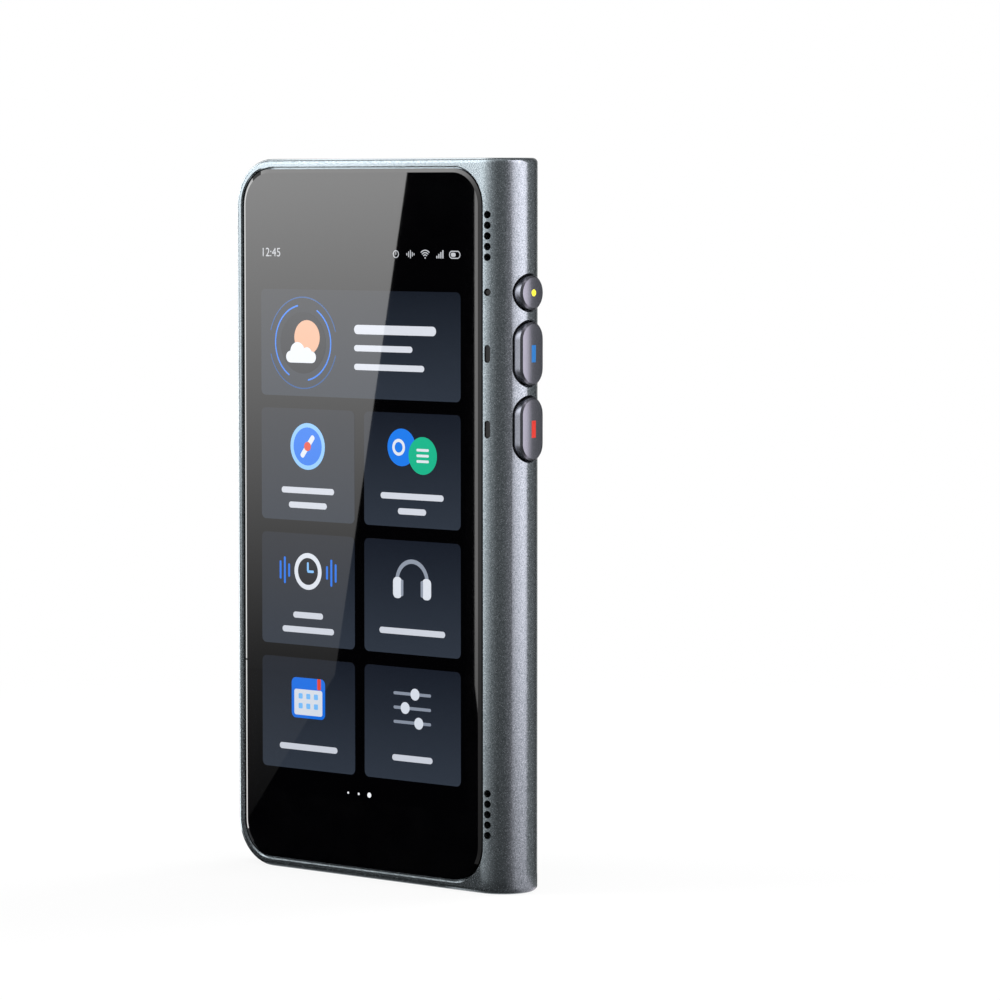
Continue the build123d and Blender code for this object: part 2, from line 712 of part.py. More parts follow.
def speaker_meshes():
    """Two strips of dust mesh on the inside of the land, over the sound holes."""
    x, _ = spine_point(PORT_ANGLE, -LAND_BACK / cos(radians(PORT_ANGLE)), -1)
    return [
        slab(Pos(x, z) * Rot(0, 0, 90) * SlotOverall(9.2, 1.9), LAND_BACK, LAND_BACK + 0.12)
        for z in (TOP_PORTS_Z, LOW_PORTS_Z)
    ]


def button_board():
    """Slim board that stands in the spine behind the three buttons."""
    return block(BOARD_X0, BOARD_X0 + BOARD_T, -2.3, 2.2, RED_Z - 7, POWER_Z + 3.7)


def button_switches():
    """Three tactile switches, each a square body with a round plunger."""
    x, half = BOARD_X0 + BOARD_T, SWITCH_W / 2
    switches = []
    for z in (POWER_Z, BLUE_Z, RED_Z):
        body = block(x, x + SWITCH_H, -half, half, z - half, z + half)
        plunger = side(Pos(0, z) * Circle(0.8), x + SWITCH_H, PLUNGER_TOP)
        switches.append(body + plunger)
    return switches


def indicator_leds():
    """Three lamps on the front edge of the button board, one behind each light pipe."""
    return [block(BOARD_X0, BOARD_X0 + 0.8, -2.6, -2.3, z - 0.6, z + 0.6) for z in (POWER_LIGHT_Z, BLUE_Z, RED_Z)]


def light_pipe(face, foot, z, sunk):
    """A clear pipe from the lamp out to the skin, with a wider foot behind the land."""
    foot_r0, foot_r1 = 2.85, 3.1
    return drilled(face, z, foot_r1, R - sunk) + drilled(foot, z, foot_r0, foot_r1)


def power_light_pipe():
    """Round indicator beside the power button."""
    return light_pipe(Circle(0.42), Circle(0.75), POWER_LIGHT_Z, 0.35)


def oval_light_pipe(z):
    """Slot-shaped indicator beside an oval button."""
    return light_pipe(SlotOverall(LIGHT_SLOT[0] - 0.2, LIGHT_SLOT[1] - 0.2), SlotOverall(3.2, 1.3), z, 0.25)


def blue_light_pipe():
    """Indicator beside the blue-marked button."""
    return oval_light_pipe(BLUE_Z)


def red_light_pipe():
    """Indicator beside the red-marked button."""
    return oval_light_pipe(RED_Z)


def button_flex():
    """Flat circuit from the button board through the rib to the upper board."""
    return block(RIB_X - 3.4, BOARD_X0, BOARD_BACK, BOARD_BACK + FLEX_T, 84, 90)


# ---------------------------------------------------------------- push buttons
def crown(z, length):
    """The cylinder that the face of a cap at this height is part of."""
    return tower(Pos(CAP_TOP_X - BUTTON_CROWN, 0) * Circle(BUTTON_CROWN), z - length, z + length)


def button_cap(z, length, mark):
    """A crowned cap with a hollow underside, retaining ears, a plunger post and a let-in mark."""
    cap = side(slot(0, z, length, BUTTON_W), EAR_X0, CAP_TOP_X) & crown(z, length)
    rim = [e for e in cap.edges() if e.center().X > CAP_TOP_X - 0.5]
    cap = chamfer(rim, BUTTON_EDGE)
    hollow = slot(0, z, length - 2 * CAP_WALL, BUTTON_W - 2 * CAP_WALL)
    ears = side(slot(0, z, length + 2 * EAR_OUT, BUTTON_W - 0.3), EAR_X0, EAR_X0 + EAR_T)
    cap += ears
    cap -= side(hollow, EAR_X0 - 1, CAP_TOP_X - CAP_ROOF)
    post = side(Pos(0, z) * Circle(1.0), PLUNGER_TOP + BUTTON_TRAVEL + 0.03, CAP_TOP_X - CAP_ROOF)
    half = BUTTON_W / 2 - CAP_WALL
    cross = block(EAR_X0 + 0.6, CAP_TOP_X - CAP_ROOF, -half, half, z - 0.35, z + 0.35)
    return cap + post + cross - mark_recess(mark, z)


def mark_recess(sketch, z):
    """The pocket for an inlay, cut right through the face of the cap."""
    return side(sketch, CAP_TOP_X - MARK_DEEP, CAP_TOP_X + 1)


def mark_insert(sketch, z):
    """A coloured inlay, flush with the crowned face of its cap."""
    return mark_recess(sketch, z) & crown(z, BUTTON_W)


def dot(z):
    """Outline of the round mark."""
    return Pos(0, z) * Circle(0.55)


def bar(z):
    """Outline of the upright marks."""
    return Pos(0, z) * Rectangle(1.0, 2.7)


def power_mark():
    """Round yellow inlay."""
    return mark_insert(dot(POWER_Z), POWER_Z)


def blue_mark():
    """Upright blue inlay."""
    return mark_insert(bar(BLUE_Z), BLUE_Z)


def red_mark():
    """Upright red inlay."""
    return mark_insert(bar(RED_Z), RED_Z)


def power_button():
    """Round cap."""
    return button_cap(POWER_Z, ROUND_LEN, dot(POWER_Z))


def blue_button():
    """Upper oval cap."""
    return button_cap(BLUE_Z, OVAL_LEN, bar(BLUE_Z))


def red_button():
    """Lower oval cap."""
    return button_cap(RED_Z, OVAL_LEN, bar(RED_Z))


# ---------------------------------------------------------------- left side: rocker and card tray
def volume_rocker():
    """Two-way key that tips about a saddle behind its middle."""
    wall_in = LEFT + WALL
    key = side(slot(SIDE_Y, ROCKER_Z, ROCKER_LEN, ROCKER_W), LEFT - ROCKER_OUT, wall_in + 0.4)
    face_edges = [e for e in key.edges() if abs(e.center().X - (LEFT - ROCKER_OUT)) < 0.001]
    key = chamfer(face_edges, ROCKER_EDGE)
    notch = Pos(LEFT - ROCKER_OUT, ROCKER_Z) * Rot(0, 0, 45) * Rectangle(0.45, 0.45)
    key -= slab(notch, SIDE_Y - 2, SIDE_Y + 2)
    flange = side(slot(SIDE_Y, ROCKER_Z, ROCKER_LEN + 1.4, ROCKER_W), wall_in + 0.35, wall_in + 0.8)
    half = ROCKER_W / 2
    saddle = block(wall_in + 0.7, ROCKER_AXIS_X - 0.1, SIDE_Y - half, SIDE_Y + half, ROCKER_Z - 1.1, ROCKER_Z + 1.1)
    saddle -= rod(ROCKER_AXIS_X, ROCKER_Z, 0.5, SIDE_Y - 2, SIDE_Y + 2)
    pads = [
        block(wall_in + 0.7, wall_in + 0.86, SIDE_Y - half, SIDE_Y + half, z - 0.9, z + 0.9) for z in ROCKER_SWITCHES_Z
    ]
    return key + flange + saddle + pads


def rocker_fulcrum():
    """Fixed pivot nose that the rocker's saddle turns on."""
    y0, y1 = SIDE_Y - 0.75, SIDE_Y + 0.9
    nose = rod(ROCKER_AXIS_X, ROCKER_Z, 0.44, y0, y1)
    stem = block(ROCKER_AXIS_X, KEY_BOARD_X, y0, y1, ROCKER_Z - 0.44, ROCKER_Z + 0.44)
    return nose + stem


def side_key_board():
    """Narrow upright board behind the rocker."""
    half = ROCKER_LEN / 2
    return block(KEY_BOARD_X, KEY_BOARD_X + 0.3, CHASSIS_BACK + 0.05, BOARD_FRONT, ROCKER_Z - half, ROCKER_Z + half)


def volume_switches():
    """Two tactile switches under the ends of the rocker."""
    x = KEY_BOARD_X
    switches = []
    for z in ROCKER_SWITCHES_Z:
        body = block(x - 0.6, x, SIDE_Y - 0.7, SIDE_Y + 1.0, z - 1.3, z + 1.3)
        plunger = side(Pos(SIDE_Y, z) * Circle(0.5), x - 0.85, x - 0.6)
        switches.append(body + plunger)
    return switches


def card_pocket(grow, y0, y1):
    """The card's outline with its one cut corner, as a solid between two depths."""
    x1 = LEFT + 2.4 + CARD[0]
    z0 = TRAY_Z - CARD[1] / 2
    face = Polyline(
        (x1 - CARD[0] - grow, z0 - grow),
        (x1 + grow, z0 - grow),
        (x1 + grow, z0 + CARD[1] - 1.6),
        (x1 - 1.6 + grow, z0 + CARD[1] + grow),
        (x1 - CARD[0] - grow, z0 + CARD[1] + grow),
        close=True,
    )
    return slab(make_face(face), y0, y1)


def sim_tray():
    """Card tray: flush oval face with a pin hole, and a carrier frame with a stepped pocket."""
    face = side(slot(SIDE_Y, TRAY_Z, TRAY_LEN, TRAY_W), LEFT, LEFT + 1.25)
    face -= side(Pos(SIDE_Y, TRAY_Z - TRAY_LEN / 2 + 1.1) * Circle(0.4), LEFT - 1, LEFT + 1)
    y0, y1 = SIDE_Y - CARRIER_T / 2, SIDE_Y + CARRIER_T / 2
    carrier = block(LEFT + 1.2, LEFT + 12.2, y0, y1, TRAY_Z - 6.6, TRAY_Z + 6.6)
    carrier = fillet(carrier.edges().filter_by(Axis.Y).group_by(Axis.X)[-1], 0.8)
    carrier -= card_pocket(0.05, CARD_SEAT_Y, y1 + 1)
    carrier -= card_pocket(-1.0, y0 - 1, y1 + 1)
    return face + carrier


def sim_card():
    """Small phone card in the tray's pocket."""
    return card_pocket(0, CARD_SEAT_Y, CARD_SEAT_Y + CARD[2])


def sim_socket():
    """Folded steel cage over the tray, open at the mouth."""
    x0, x1 = LEFT + 1.6, LEFT + 13.4
    z0, z1 = TRAY_Z - 7.0, TRAY_Z + 7.0
    y0 = CHASSIS_BACK + 0.02
    t = 0.15
    cage = block(x0, x1, y0, BOARD_FRONT, z0, z1)
    cage -= block(x0 - 1, x1 - t, y0 + t, BOARD_FRONT + 1, z0 + t, z1 - t)
    cage -= slab(front_rect(x0 + 3.5, x1 - 3.5, z0 + 3, z1 - 3, 1, 1), y0 - 1, y0 + 1)
    return cage


def sim_contacts():
    """Six spring contacts on the board, under the card."""
    x_mid = LEFT + 2.4 + CARD[0] / 2
    contacts = []
    for x in (x_mid - 2.6, x_mid + 2.6):
        for z in (TRAY_Z - 2.5, TRAY_Z, TRAY_Z + 2.5):
            contacts.append(block(x - 0.9, x + 0.9, BOARD_FRONT - 0.4, BOARD_FRONT, z - 0.4, z + 0.4))
    return contacts


# ---------------------------------------------------------------- fasteners
def housing_screws():
    """Six small flat-headed screws through the back cover into the posts, hidden under the back plate."""
    screws = []
    for x, z in POSTS + [RIB_POST]:
        shank = rod(x, z, SCREW_R - 0.04, SCREW_TIP, FLOOR_FRONT)
        screws.append(shank + rod(x, z, HEAD_R, FLOOR_FRONT, FLOOR_FRONT + HEAD_T))
    return screws


PARTS = [
    front_frame, side_band, side_strip, back_cover, back_plate, plate_adhesive, cover_glass, glass_adhesive,
    display_panel, backlight_tray, display_flex, chassis_plate, battery, main_board, sub_board, shield_front,
    shield_back, board_connectors, battery_lead, board_flex, antenna_flex, camera_module, camera_lens, camera_ring,
    camera_window, flash_window, flash_led, usb_socket, usb_tongue, usb_gasket, bottom_microphone,
    vibration_motor, top_speaker, bottom_speaker, speaker_meshes, button_board, button_switches,
    indicator_leds, power_light_pipe, blue_light_pipe, red_light_pipe, button_flex, power_button, power_mark,
    blue_button, blue_mark, red_button, red_mark, volume_rocker, rocker_fulcrum, side_key_board,
    volume_switches, sim_tray, sim_card, sim_socket, sim_contacts, housing_screws,
]

os.makedirs("parts", exist_ok=True)
for make in PARTS:
    shape = make()
    if isinstance(shape, list):
        shape = Compound(children=[s.solid() for s in shape])
    export_step(shape, f"parts/{make.__name__}.step")
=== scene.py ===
"""Handheld translator: the finishes of its parts, the picture on its screen, and a plain studio."""

import json
import math

import bmesh
import bpy
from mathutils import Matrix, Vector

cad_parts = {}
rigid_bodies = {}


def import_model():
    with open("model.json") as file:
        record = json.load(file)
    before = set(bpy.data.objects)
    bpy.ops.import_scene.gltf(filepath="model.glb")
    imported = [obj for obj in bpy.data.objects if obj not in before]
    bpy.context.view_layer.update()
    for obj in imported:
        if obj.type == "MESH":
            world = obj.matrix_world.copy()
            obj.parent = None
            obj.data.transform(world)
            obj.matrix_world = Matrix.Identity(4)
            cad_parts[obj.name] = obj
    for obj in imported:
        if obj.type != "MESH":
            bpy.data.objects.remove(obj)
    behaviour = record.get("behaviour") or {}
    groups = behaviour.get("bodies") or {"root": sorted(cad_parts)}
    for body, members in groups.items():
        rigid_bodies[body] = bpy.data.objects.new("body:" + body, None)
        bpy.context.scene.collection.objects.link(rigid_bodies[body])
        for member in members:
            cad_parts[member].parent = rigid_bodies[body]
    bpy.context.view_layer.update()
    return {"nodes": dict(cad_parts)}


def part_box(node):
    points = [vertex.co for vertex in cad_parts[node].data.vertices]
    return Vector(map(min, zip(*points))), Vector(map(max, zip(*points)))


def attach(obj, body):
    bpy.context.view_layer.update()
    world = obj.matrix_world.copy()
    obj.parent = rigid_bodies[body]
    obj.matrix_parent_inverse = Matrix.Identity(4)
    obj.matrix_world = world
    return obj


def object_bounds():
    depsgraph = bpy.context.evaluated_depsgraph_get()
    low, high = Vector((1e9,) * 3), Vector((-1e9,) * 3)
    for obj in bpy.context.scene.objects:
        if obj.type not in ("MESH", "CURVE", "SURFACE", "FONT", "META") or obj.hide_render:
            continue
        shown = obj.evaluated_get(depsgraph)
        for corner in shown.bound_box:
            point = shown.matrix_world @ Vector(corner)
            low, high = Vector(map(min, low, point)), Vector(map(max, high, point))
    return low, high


for leftover in list(bpy.data.objects):
    bpy.data.objects.remove(leftover)

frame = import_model()

MM = 0.001
NODES = frame["nodes"]
LOW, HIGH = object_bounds()
HOUSING = "housing"
GLASS_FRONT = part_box("cover_glass")[0].y

# Camera: on the spine's side of the screen, looking slightly down. Metres and radians.
CAMERA_AT = (0.48494, -0.54148, 0.11071)
CAMERA_TURN = math.radians(40.46)
CAMERA_DIP = math.radians(3.91)
LENS_MM = 162.43
SENSOR_MM = 36.0

# The screen, in millimetres: x across the device from its middle, z above the floor.
ROCKER_OUT = 0.45  # how far the rocker stands out of the left side
LEFT = LOW.x / MM + ROCKER_OUT
TOP = HIGH.z / MM
LIT_LEFT = LEFT + 4.62
LIT_TOP = TOP - 12.6
LIT_WIDTH = 45.4
LIT_HEIGHT = 90.8

# Its grid: one wide tile over two columns of small ones.
GRID_LEFT = LEFT + 5.76
GRID_RIGHT = LEFT + 48.88
COLUMN_GAP = 2.1
WIDE_TOP = TOP - 21.1
WIDE_HEIGHT = 17.3
WIDE_Z = WIDE_TOP - WIDE_HEIGHT / 2
TILE_TOP = TOP - 40.45
TILE_WIDTH = (GRID_RIGHT - GRID_LEFT - COLUMN_GAP) / 2
TILE_HEIGHT = 18.2
TILE_PITCH = 20.35
TILE_CORNER = 0.9
TILE_ROWS = 3
TILE_COLUMNS = 2

# Caption bars: thickness, and height of their middles above the foot of a small tile.
THIN_BAR = 1.0
THICK_BAR = 1.5
WIDE_BARS_LEFT = GRID_LEFT + 20.5
ONE_BAR = (3.6,)
TWO_BARS = (4.9, 2.5)

# The row of signs over the grid, and the dots of the pages under it.
STATUS_Z = TOP - 15.2
CLOCK_SIZE = 2.0
SIGN_MARGIN = 1.2
SIGN_PITCH = 3.1
SIGN_FOOT = 0.6  # how far a sign reaches below its middle
DOTS_X = LEFT + 27.05
DOTS_Z = TOP - 102.35
DOT_PITCH = 2.3

# The picture is thin pieces in layers, counted from the glass outwards. Motifs take the third and up.
LAYER = 0.012 * MM
GROUND, TILES, SIGNS = 1, 2, 3
SAME = 1e-7  # closer than this is the same place
CORNER_STEPS = 7
MOST_ROUND = 0.499  # share of a tile that a corner takes at most, so that two never meet

# Share of a screen colour that is given off as light; the rest is pigment.
GLOW = 0.8


# ---------------------------------------------------------------- small helpers
def linear(code):
    """An sRGB hex colour as linear RGBA."""
    channels = [int(code[i : i + 2], 16) / 255 for i in (1, 3, 5)]
    return [c / 12.92 if c <= 0.04045 else ((c + 0.055) / 1.055) ** 2.4 for c in channels] + [1.0]


def shades(code, spread):
    """The same hex colour a little darker and a little lighter."""
    channels = [int(code[i : i + 2], 16) for i in (1, 3, 5)]
    scaled = [[min(255, round(c * share)) for c in channels] for share in (1 - spread, 1 + spread)]
    return ["#" + "".join(f"{c:02x}" for c in triple) for triple in scaled]


def add_node(tree, kind, inputs, stops=(), **settings):
    """Adds a node with its attributes, the stops of its colour ramp, and its inputs.

    Inputs are given by name, or listed in the node's own order. Nodes and sockets among them are
    linked, a node by its first output in use.
    """
    node = tree.nodes.new(kind)
    for name, value in settings.items():
        setattr(node, name, value)
    for position, _ in stops[1:-1]:
        node.color_ramp.elements.new(position)
    for place, (position, colour) in enumerate(stops):
        node.color_ramp.elements[place].position = position
        node.color_ramp.elements[place].color = colour
    for name, value in inputs.items() if isinstance(inputs, dict) else enumerate(inputs):
        if isinstance(value, bpy.types.Node):
            value = next(output for output in value.outputs if output.enabled)
        if isinstance(value, bpy.types.NodeSocket):
            tree.links.new(value, node.inputs[name])
        else:
            node.inputs[name].default_value = value
    return node


def new_material(name):
    """An empty material, its node tree, and the surface point in the object's own space, in metres."""
    material = bpy.data.materials.new(name)
    material.use_nodes = True
    tree = material.node_tree
    tree.nodes.clear()
    return material, tree, add_node(tree, "ShaderNodeTexCoord", []).outputs["Object"]


def surfaced(material, inputs):
    """Ends a material with one principled shader that has these inputs, and returns the material."""
    shader = add_node(material.node_tree, "ShaderNodeBsdfPrincipled", inputs)
    add_node(material.node_tree, "ShaderNodeOutputMaterial", {"Surface": shader})
    return material


def radius_round(tree, point, centre):
    """Distance of the surface point from an axis along Y."""
    off = add_node(tree, "ShaderNodeVectorMath", [point, centre], operation="SUBTRACT")
    flat = add_node(tree, "ShaderNodeVectorMath", [off, (1, 0, 1)], operation="MULTIPLY")
    return add_node(tree, "ShaderNodeVectorMath", [flat], operation="LENGTH")


def start():
    """Object mode with nothing selected."""
    if bpy.context.object and bpy.context.object.mode != "OBJECT":
        bpy.ops.object.mode_set(mode="OBJECT")
    bpy.ops.object.select_all(action="DESELECT")


# ---------------------------------------------------------------- materials
# Real flakes are near 0.05 mm, and the grain of a spark-eroded mould is as fine. Both would vanish in
# the render, so they are drawn as coarse as they need to be to show.
FLAKE = 0.19 * MM
SPARK = 0.12 * MM
RELIEF = 0.004 * MM

# Nearly all of a noise lies between these, so its patterns run from the one to the other.
NOISE_LOW, NOISE_HIGH = 0.3, 0.7

POLISHED = 0.012  # roughness of polished glass
GLASS_IOR = 1.5
WINDOW_RIM = 4 * MM
LENS_RADIUS = 1.1 * MM
BARREL_WELL = 2.05 * MM  # radius of the well in the face of the lens barrel


def flake_lacquer():
    """Metal-flake lacquer, sprayed on moulded shells.

    A cool slate grey. Each flake lies at its own tilt, so highlights are soft and faintly grainy.
    """
    material, tree, point = new_material("slate_flake_lacquer")
    flakes = add_node(tree, "ShaderNodeTexNoise", {"Vector": point, "Scale": 1 / FLAKE, "Detail": 1.0})
    stops = [(NOISE_LOW, linear("#616a6e")), (NOISE_HIGH, linear("#8c9499"))]
    inputs = {
        "Base Color": add_node(tree, "ShaderNodeValToRGB", [flakes], stops),
        "Metallic": 0.9,
        "Roughness": add_node(tree, "ShaderNodeMapRange", [flakes, NOISE_LOW, NOISE_HIGH, 0.14, 0.28]),
        "Normal": add_node(tree, "ShaderNodeBump", {"Height": flakes, "Distance": 0.001 * MM}),
    }
    return surfaced(material, inputs)


def plain_finish(name, code, roughness, size=SPARK, relief=RELIEF, spread=0.07, specular=0.5, metallic=0.0):
    """One colour with a fine, slightly uneven skin: moulded plastic, enamel, film or plain metal."""
    material, tree, point = new_material(name)
    fine = add_node(tree, "ShaderNodeTexNoise", {"Vector": point, "Scale": 1 / size, "Detail": 1.0})
    darker, lighter = shades(code, spread)
    stops = [(NOISE_LOW, linear(darker)), (NOISE_HIGH, linear(lighter))]
    inputs = {
        "Base Color": add_node(tree, "ShaderNodeValToRGB", [fine], stops),
        "Metallic": metallic,
        "Roughness": roughness,
        "Specular IOR Level": specular,
        "Normal": add_node(tree, "ShaderNodeBump", {"Height": fine, "Distance": relief}),
    }
    return surfaced(material, inputs)


def black_glass():
    """Toughened cover glass, polished in front and printed black behind.

    A deep black that mirrors the room sharply. The tone of the print drifts over some 6 mm.
    """
    material, tree, point = new_material("black_cover_glass")
    drift = add_node(tree, "ShaderNodeTexNoise", {"Vector": point, "Scale": 1 / (6 * MM), "Detail": 1.0})
    stops = [(NOISE_LOW, linear("#020203")), (NOISE_HIGH, linear("#040405"))]
    colour = add_node(tree, "ShaderNodeValToRGB", [drift], stops)
    return surfaced(material, {"Base Color": colour, "Roughness": POLISHED, "IOR": GLASS_IOR})


def lit_colour(name, low, high, bottom, top):
    """Lit pixels bonded under polished glass, running from one colour to another with height.

    They glow evenly and keep the sharp reflections of the glass. The heights are in millimetres.
    """
    material, tree, point = new_material(name)
    height = add_node(tree, "ShaderNodeSeparateXYZ", {"Vector": point}).outputs["Z"]
    rise = add_node(tree, "ShaderNodeMapRange", [height, bottom * MM, top * MM, 0.0, 1.0])
    colour = add_node(tree, "ShaderNodeValToRGB", [rise], [(0.0, linear(low)), (1.0, linear(high))])
    shares = {"Factor": 1 - GLOW, "A": (0, 0, 0, 1), "B": colour}
    inputs = {
        "Base Color": add_node(tree, "ShaderNodeMix", shares, data_type="RGBA"),
        "Roughness": POLISHED,
        "IOR": GLASS_IOR,
        "Emission Color": colour,
        "Emission Strength": GLOW,
    }
    return surfaced(material, inputs)


def smoked_window(centre):
    """Hardened camera window, polished and faintly smoked, a little paler towards its rim.

    It mirrors softly while the barrel and the lens show through it.
    """
    material, tree, point = new_material("smoked_camera_window")
    radius = radius_round(tree, point, centre)
    stops = [(0.0, linear("#4a4f52")), (WINDOW_RIM, linear("#5c6265"))]
    colour = add_node(tree, "ShaderNodeValToRGB", [radius], stops)
    return surfaced(material, {"Base Color": colour, "Roughness": 0.02, "IOR": GLASS_IOR, "Alpha": 0.3})


def barrel(centre):
    """Lens barrel, moulded in matt plastic.

    A black face round a paler well, with a gloss that varies over some 0.5 mm.
    """
    material, tree, point = new_material("moulded_lens_barrel")
    radius = radius_round(tree, point, centre)
    edge = [radius, BARREL_WELL, BARREL_WELL + 0.1 * MM, 1.0, 0.0]
    well = add_node(tree, "ShaderNodeMapRange", edge)
    stops = [(0.0, linear("#303438")), (1.0, linear("#8f919b"))]
    patches = add_node(tree, "ShaderNodeTexNoise", {"Vector": point, "Scale": 1 / (0.5 * MM), "Detail": 1.0})
    inputs = {
        "Base Color": add_node(tree, "ShaderNodeValToRGB", [well], stops),
        "Roughness": add_node(tree, "ShaderNodeMapRange", [patches, NOISE_LOW, NOISE_HIGH, 0.4, 0.5]),
    }
    return surfaced(material, inputs)


def coated_lens(centre):
    """Small polished lens whose green anti-reflection coating darkens from its middle to its rim."""
    material, tree, point = new_material("coated_lens_glass")
    radius = radius_round(tree, point, centre)
    share = add_node(tree, "ShaderNodeMapRange", [radius, 0.0, LENS_RADIUS, 0.0, 1.0])
    stops = [(0.1, linear("#7fa892")), (0.9, linear("#15211c"))]
    colour = add_node(tree, "ShaderNodeValToRGB", [share], stops)
    return surfaced(material, {"Base Color": colour, "Roughness": 0.03, "IOR": 1.6})


def flash_lens(centre):
    """Flash lens, moulded in milky acrylic with rings every 0.5 mm that break up its highlight."""
    material, tree, point = new_material("milky_ringed_acrylic")
    ring = 0.25 * MM
    milk = add_node(tree, "ShaderNodeTexNoise", {"Vector": point, "Scale": 1 / (0.8 * MM), "Detail": 1.0})
    stops = [(NOISE_LOW, linear("#84898b")), (NOISE_HIGH, linear("#969b9d"))]
    radius = radius_round(tree, point, centre)
    wave = add_node(tree, "ShaderNodeMath", [radius, ring], operation="PINGPONG")
    height = add_node(tree, "ShaderNodeMapRange", [wave, 0.0, ring, 0.0, 1.0])
    inputs = {
        "Base Color": add_node(tree, "ShaderNodeValToRGB", [milk], stops),
        "Roughness": 0.16,
        "IOR": 1.49,
        "Transmission Weight": 0.35,
        "Normal": add_node(tree, "ShaderNodeBump", {"Height": height, "Distance": 0.02 * MM}),
    }
    return surfaced(material, inputs)


def middle_of(node):
    """Middle of a node's box at rest."""
    low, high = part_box(node)
    return (low + high) / 2


def outer_finishes():
    """Finishes of what shows from outside, each with the nodes that wear it."""
    camera_axis = middle_of("camera_window")
    flash_axis = middle_of("flash_window")
    return {
        flake_lacquer(): ["front_frame", "back_cover", "back_plate"],
        black_glass(): ["cover_glass"],
        # ABS from a spark-eroded mould: near black, and too matt for a highlight.
        plain_finish("spark_textured_black_abs", "#111213", 0.42, relief=0.002 * MM, specular=0.05): [
            "side_band",
            "side_strip",
            "sim_tray",
        ],
        # ABS from a smoother mould: dark grey with a satin sheen.
        plain_finish("satin_dark_abs", "#262628", 0.34, relief=0.002 * MM, specular=0.3): ["volume_rocker"],
        # Metallic enamel, sprayed and baked: smooth, grey leaning to violet, with wide highlights.
        plain_finish("violet_grey_enamel", "#6c6e76", 0.2, relief=0.001 * MM, spread=0.02, metallic=0.92): [
            "power_button",
            "blue_button",
            "red_button",
        ],
        # ABS coloured in the mass and moulded: clean colours with a slightly soft shine.
        plain_finish("moulded_yellow_abs", "#ece032", 0.3, specular=0.3): ["power_mark"],
        plain_finish("moulded_blue_abs", "#0f64a8", 0.3, specular=0.3): ["blue_mark"],
        plain_finish("moulded_red_abs", "#bc2416", 0.3, specular=0.3): ["red_mark"],
        # Smoked polycarbonate, moulded: almost black while the lamp behind it is out.
        plain_finish("smoked_polycarbonate", "#0b0c0d", 0.3, specular=0.3): [
            "power_light_pipe",
            "blue_light_pipe",
            "red_light_pipe",
        ],
        # Aluminium, turned and anodised black: a dark ring with bright glints on its edges.
        plain_finish("black_anodised_aluminium", "#4a5053", 0.14, metallic=1.0): ["camera_ring"],
        smoked_window(camera_axis): ["camera_window"],
        barrel(camera_axis): ["camera_module"],
        coated_lens(camera_axis): ["camera_lens"],
        flash_lens(flash_axis): ["flash_window"],
        # PVC, laminated: a plain white card with a low shine, seen when the tray is out.
        plain_finish("laminated_white_pvc", "#ececec", 0.4): ["sim_card"],
    }


def inner_finishes():
    """Finishes of what lies inside, each with the nodes that wear it."""
    return {
        # Closed-cell foam tape: black and dull.
        plain_finish("black_foam_tape", "#0c0c0c", 0.8): ["glass_adhesive", "plate_adhesive"],
        # Glass of the display cell, polished: dark with a cold cast.
        plain_finish("polished_display_cell", "#0b0d12", 0.2): ["display_panel"],
        # Steel, pressed and plated: grey and evenly bright.
        plain_finish("pressed_plated_steel", "#b4b4b8", 0.32, metallic=1.0): [
            "backlight_tray",
            "shield_front",
            "shield_back",
            "usb_socket",
            "bottom_microphone",
            "vibration_motor",
            "button_switches",
            "volume_switches",
            "rocker_fulcrum",
            "sim_socket",
            "housing_screws",
        ],
        # Polyimide film, laminated over copper: amber with a low gloss.
        plain_finish("amber_polyimide_film", "#8a5218", 0.35): [
            "display_flex",
            "battery_lead",
            "board_flex",
            "antenna_flex",
            "button_flex",
        ],
        # Magnesium, die-cast and blasted: pale grey with a grain of some 0.5 mm.
        plain_finish("blasted_magnesium", "#8c8e92", 0.5, size=0.5 * MM, metallic=1.0): ["chassis_plate"],
        # Laminated foil of the battery's pouch: dark grey satin.
        plain_finish("laminated_pouch_foil", "#3a3a3e", 0.4): ["battery"],
        # Glass-epoxy board under printed solder mask: deep green satin.
        plain_finish("green_solder_mask", "#14512c", 0.35): [
            "main_board",
            "sub_board",
            "button_board",
            "side_key_board",
        ],
        # Liquid-crystal polymer, moulded: black and matt.
        plain_finish("moulded_black_polymer", "#111113", 0.5): [
            "board_connectors",
            "usb_tongue",
            "top_speaker",
            "bottom_speaker",
        ],
        # Silicone, moulded: black and dull.
        plain_finish("moulded_black_silicone", "#0c0c0d", 0.6): ["usb_gasket"],
        # Steel mesh, woven and blackened: dark and faintly metallic.
        plain_finish("woven_blackened_mesh", "#1c1c1e", 0.5, metallic=0.6): ["speaker_meshes"],
        # Phosphor, cast over the lamps: pale yellow satin.
        plain_finish("cast_yellow_phosphor", "#f2e6a0", 0.4): ["flash_led", "indicator_leds"],
        # Contacts, stamped and gold-plated: warm and bright.
        plain_finish("stamped_gold_plate", "#e0b45c", 0.3, metallic=1.0): ["sim_contacts"],
    }


def dress_nodes():
    """Gives every CAD node its finish."""
    for material, names in (outer_finishes() | inner_finishes()).items():
        for name in names:
            NODES[name].data.materials.clear()
            NODES[name].data.materials.append(material)


# ---------------------------------------------------------------- flat pieces, in millimetres
def laid_on_glass(x, z, layer):
    """Moves the new piece to x, z in its layer over the glass, and returns it."""
    obj = bpy.context.object
    obj.location = (x * MM, GLASS_FRONT + (0.5 - layer) * LAYER, z * MM)
    bpy.ops.object.transform_apply(location=True, rotation=True, scale=True)
    return obj


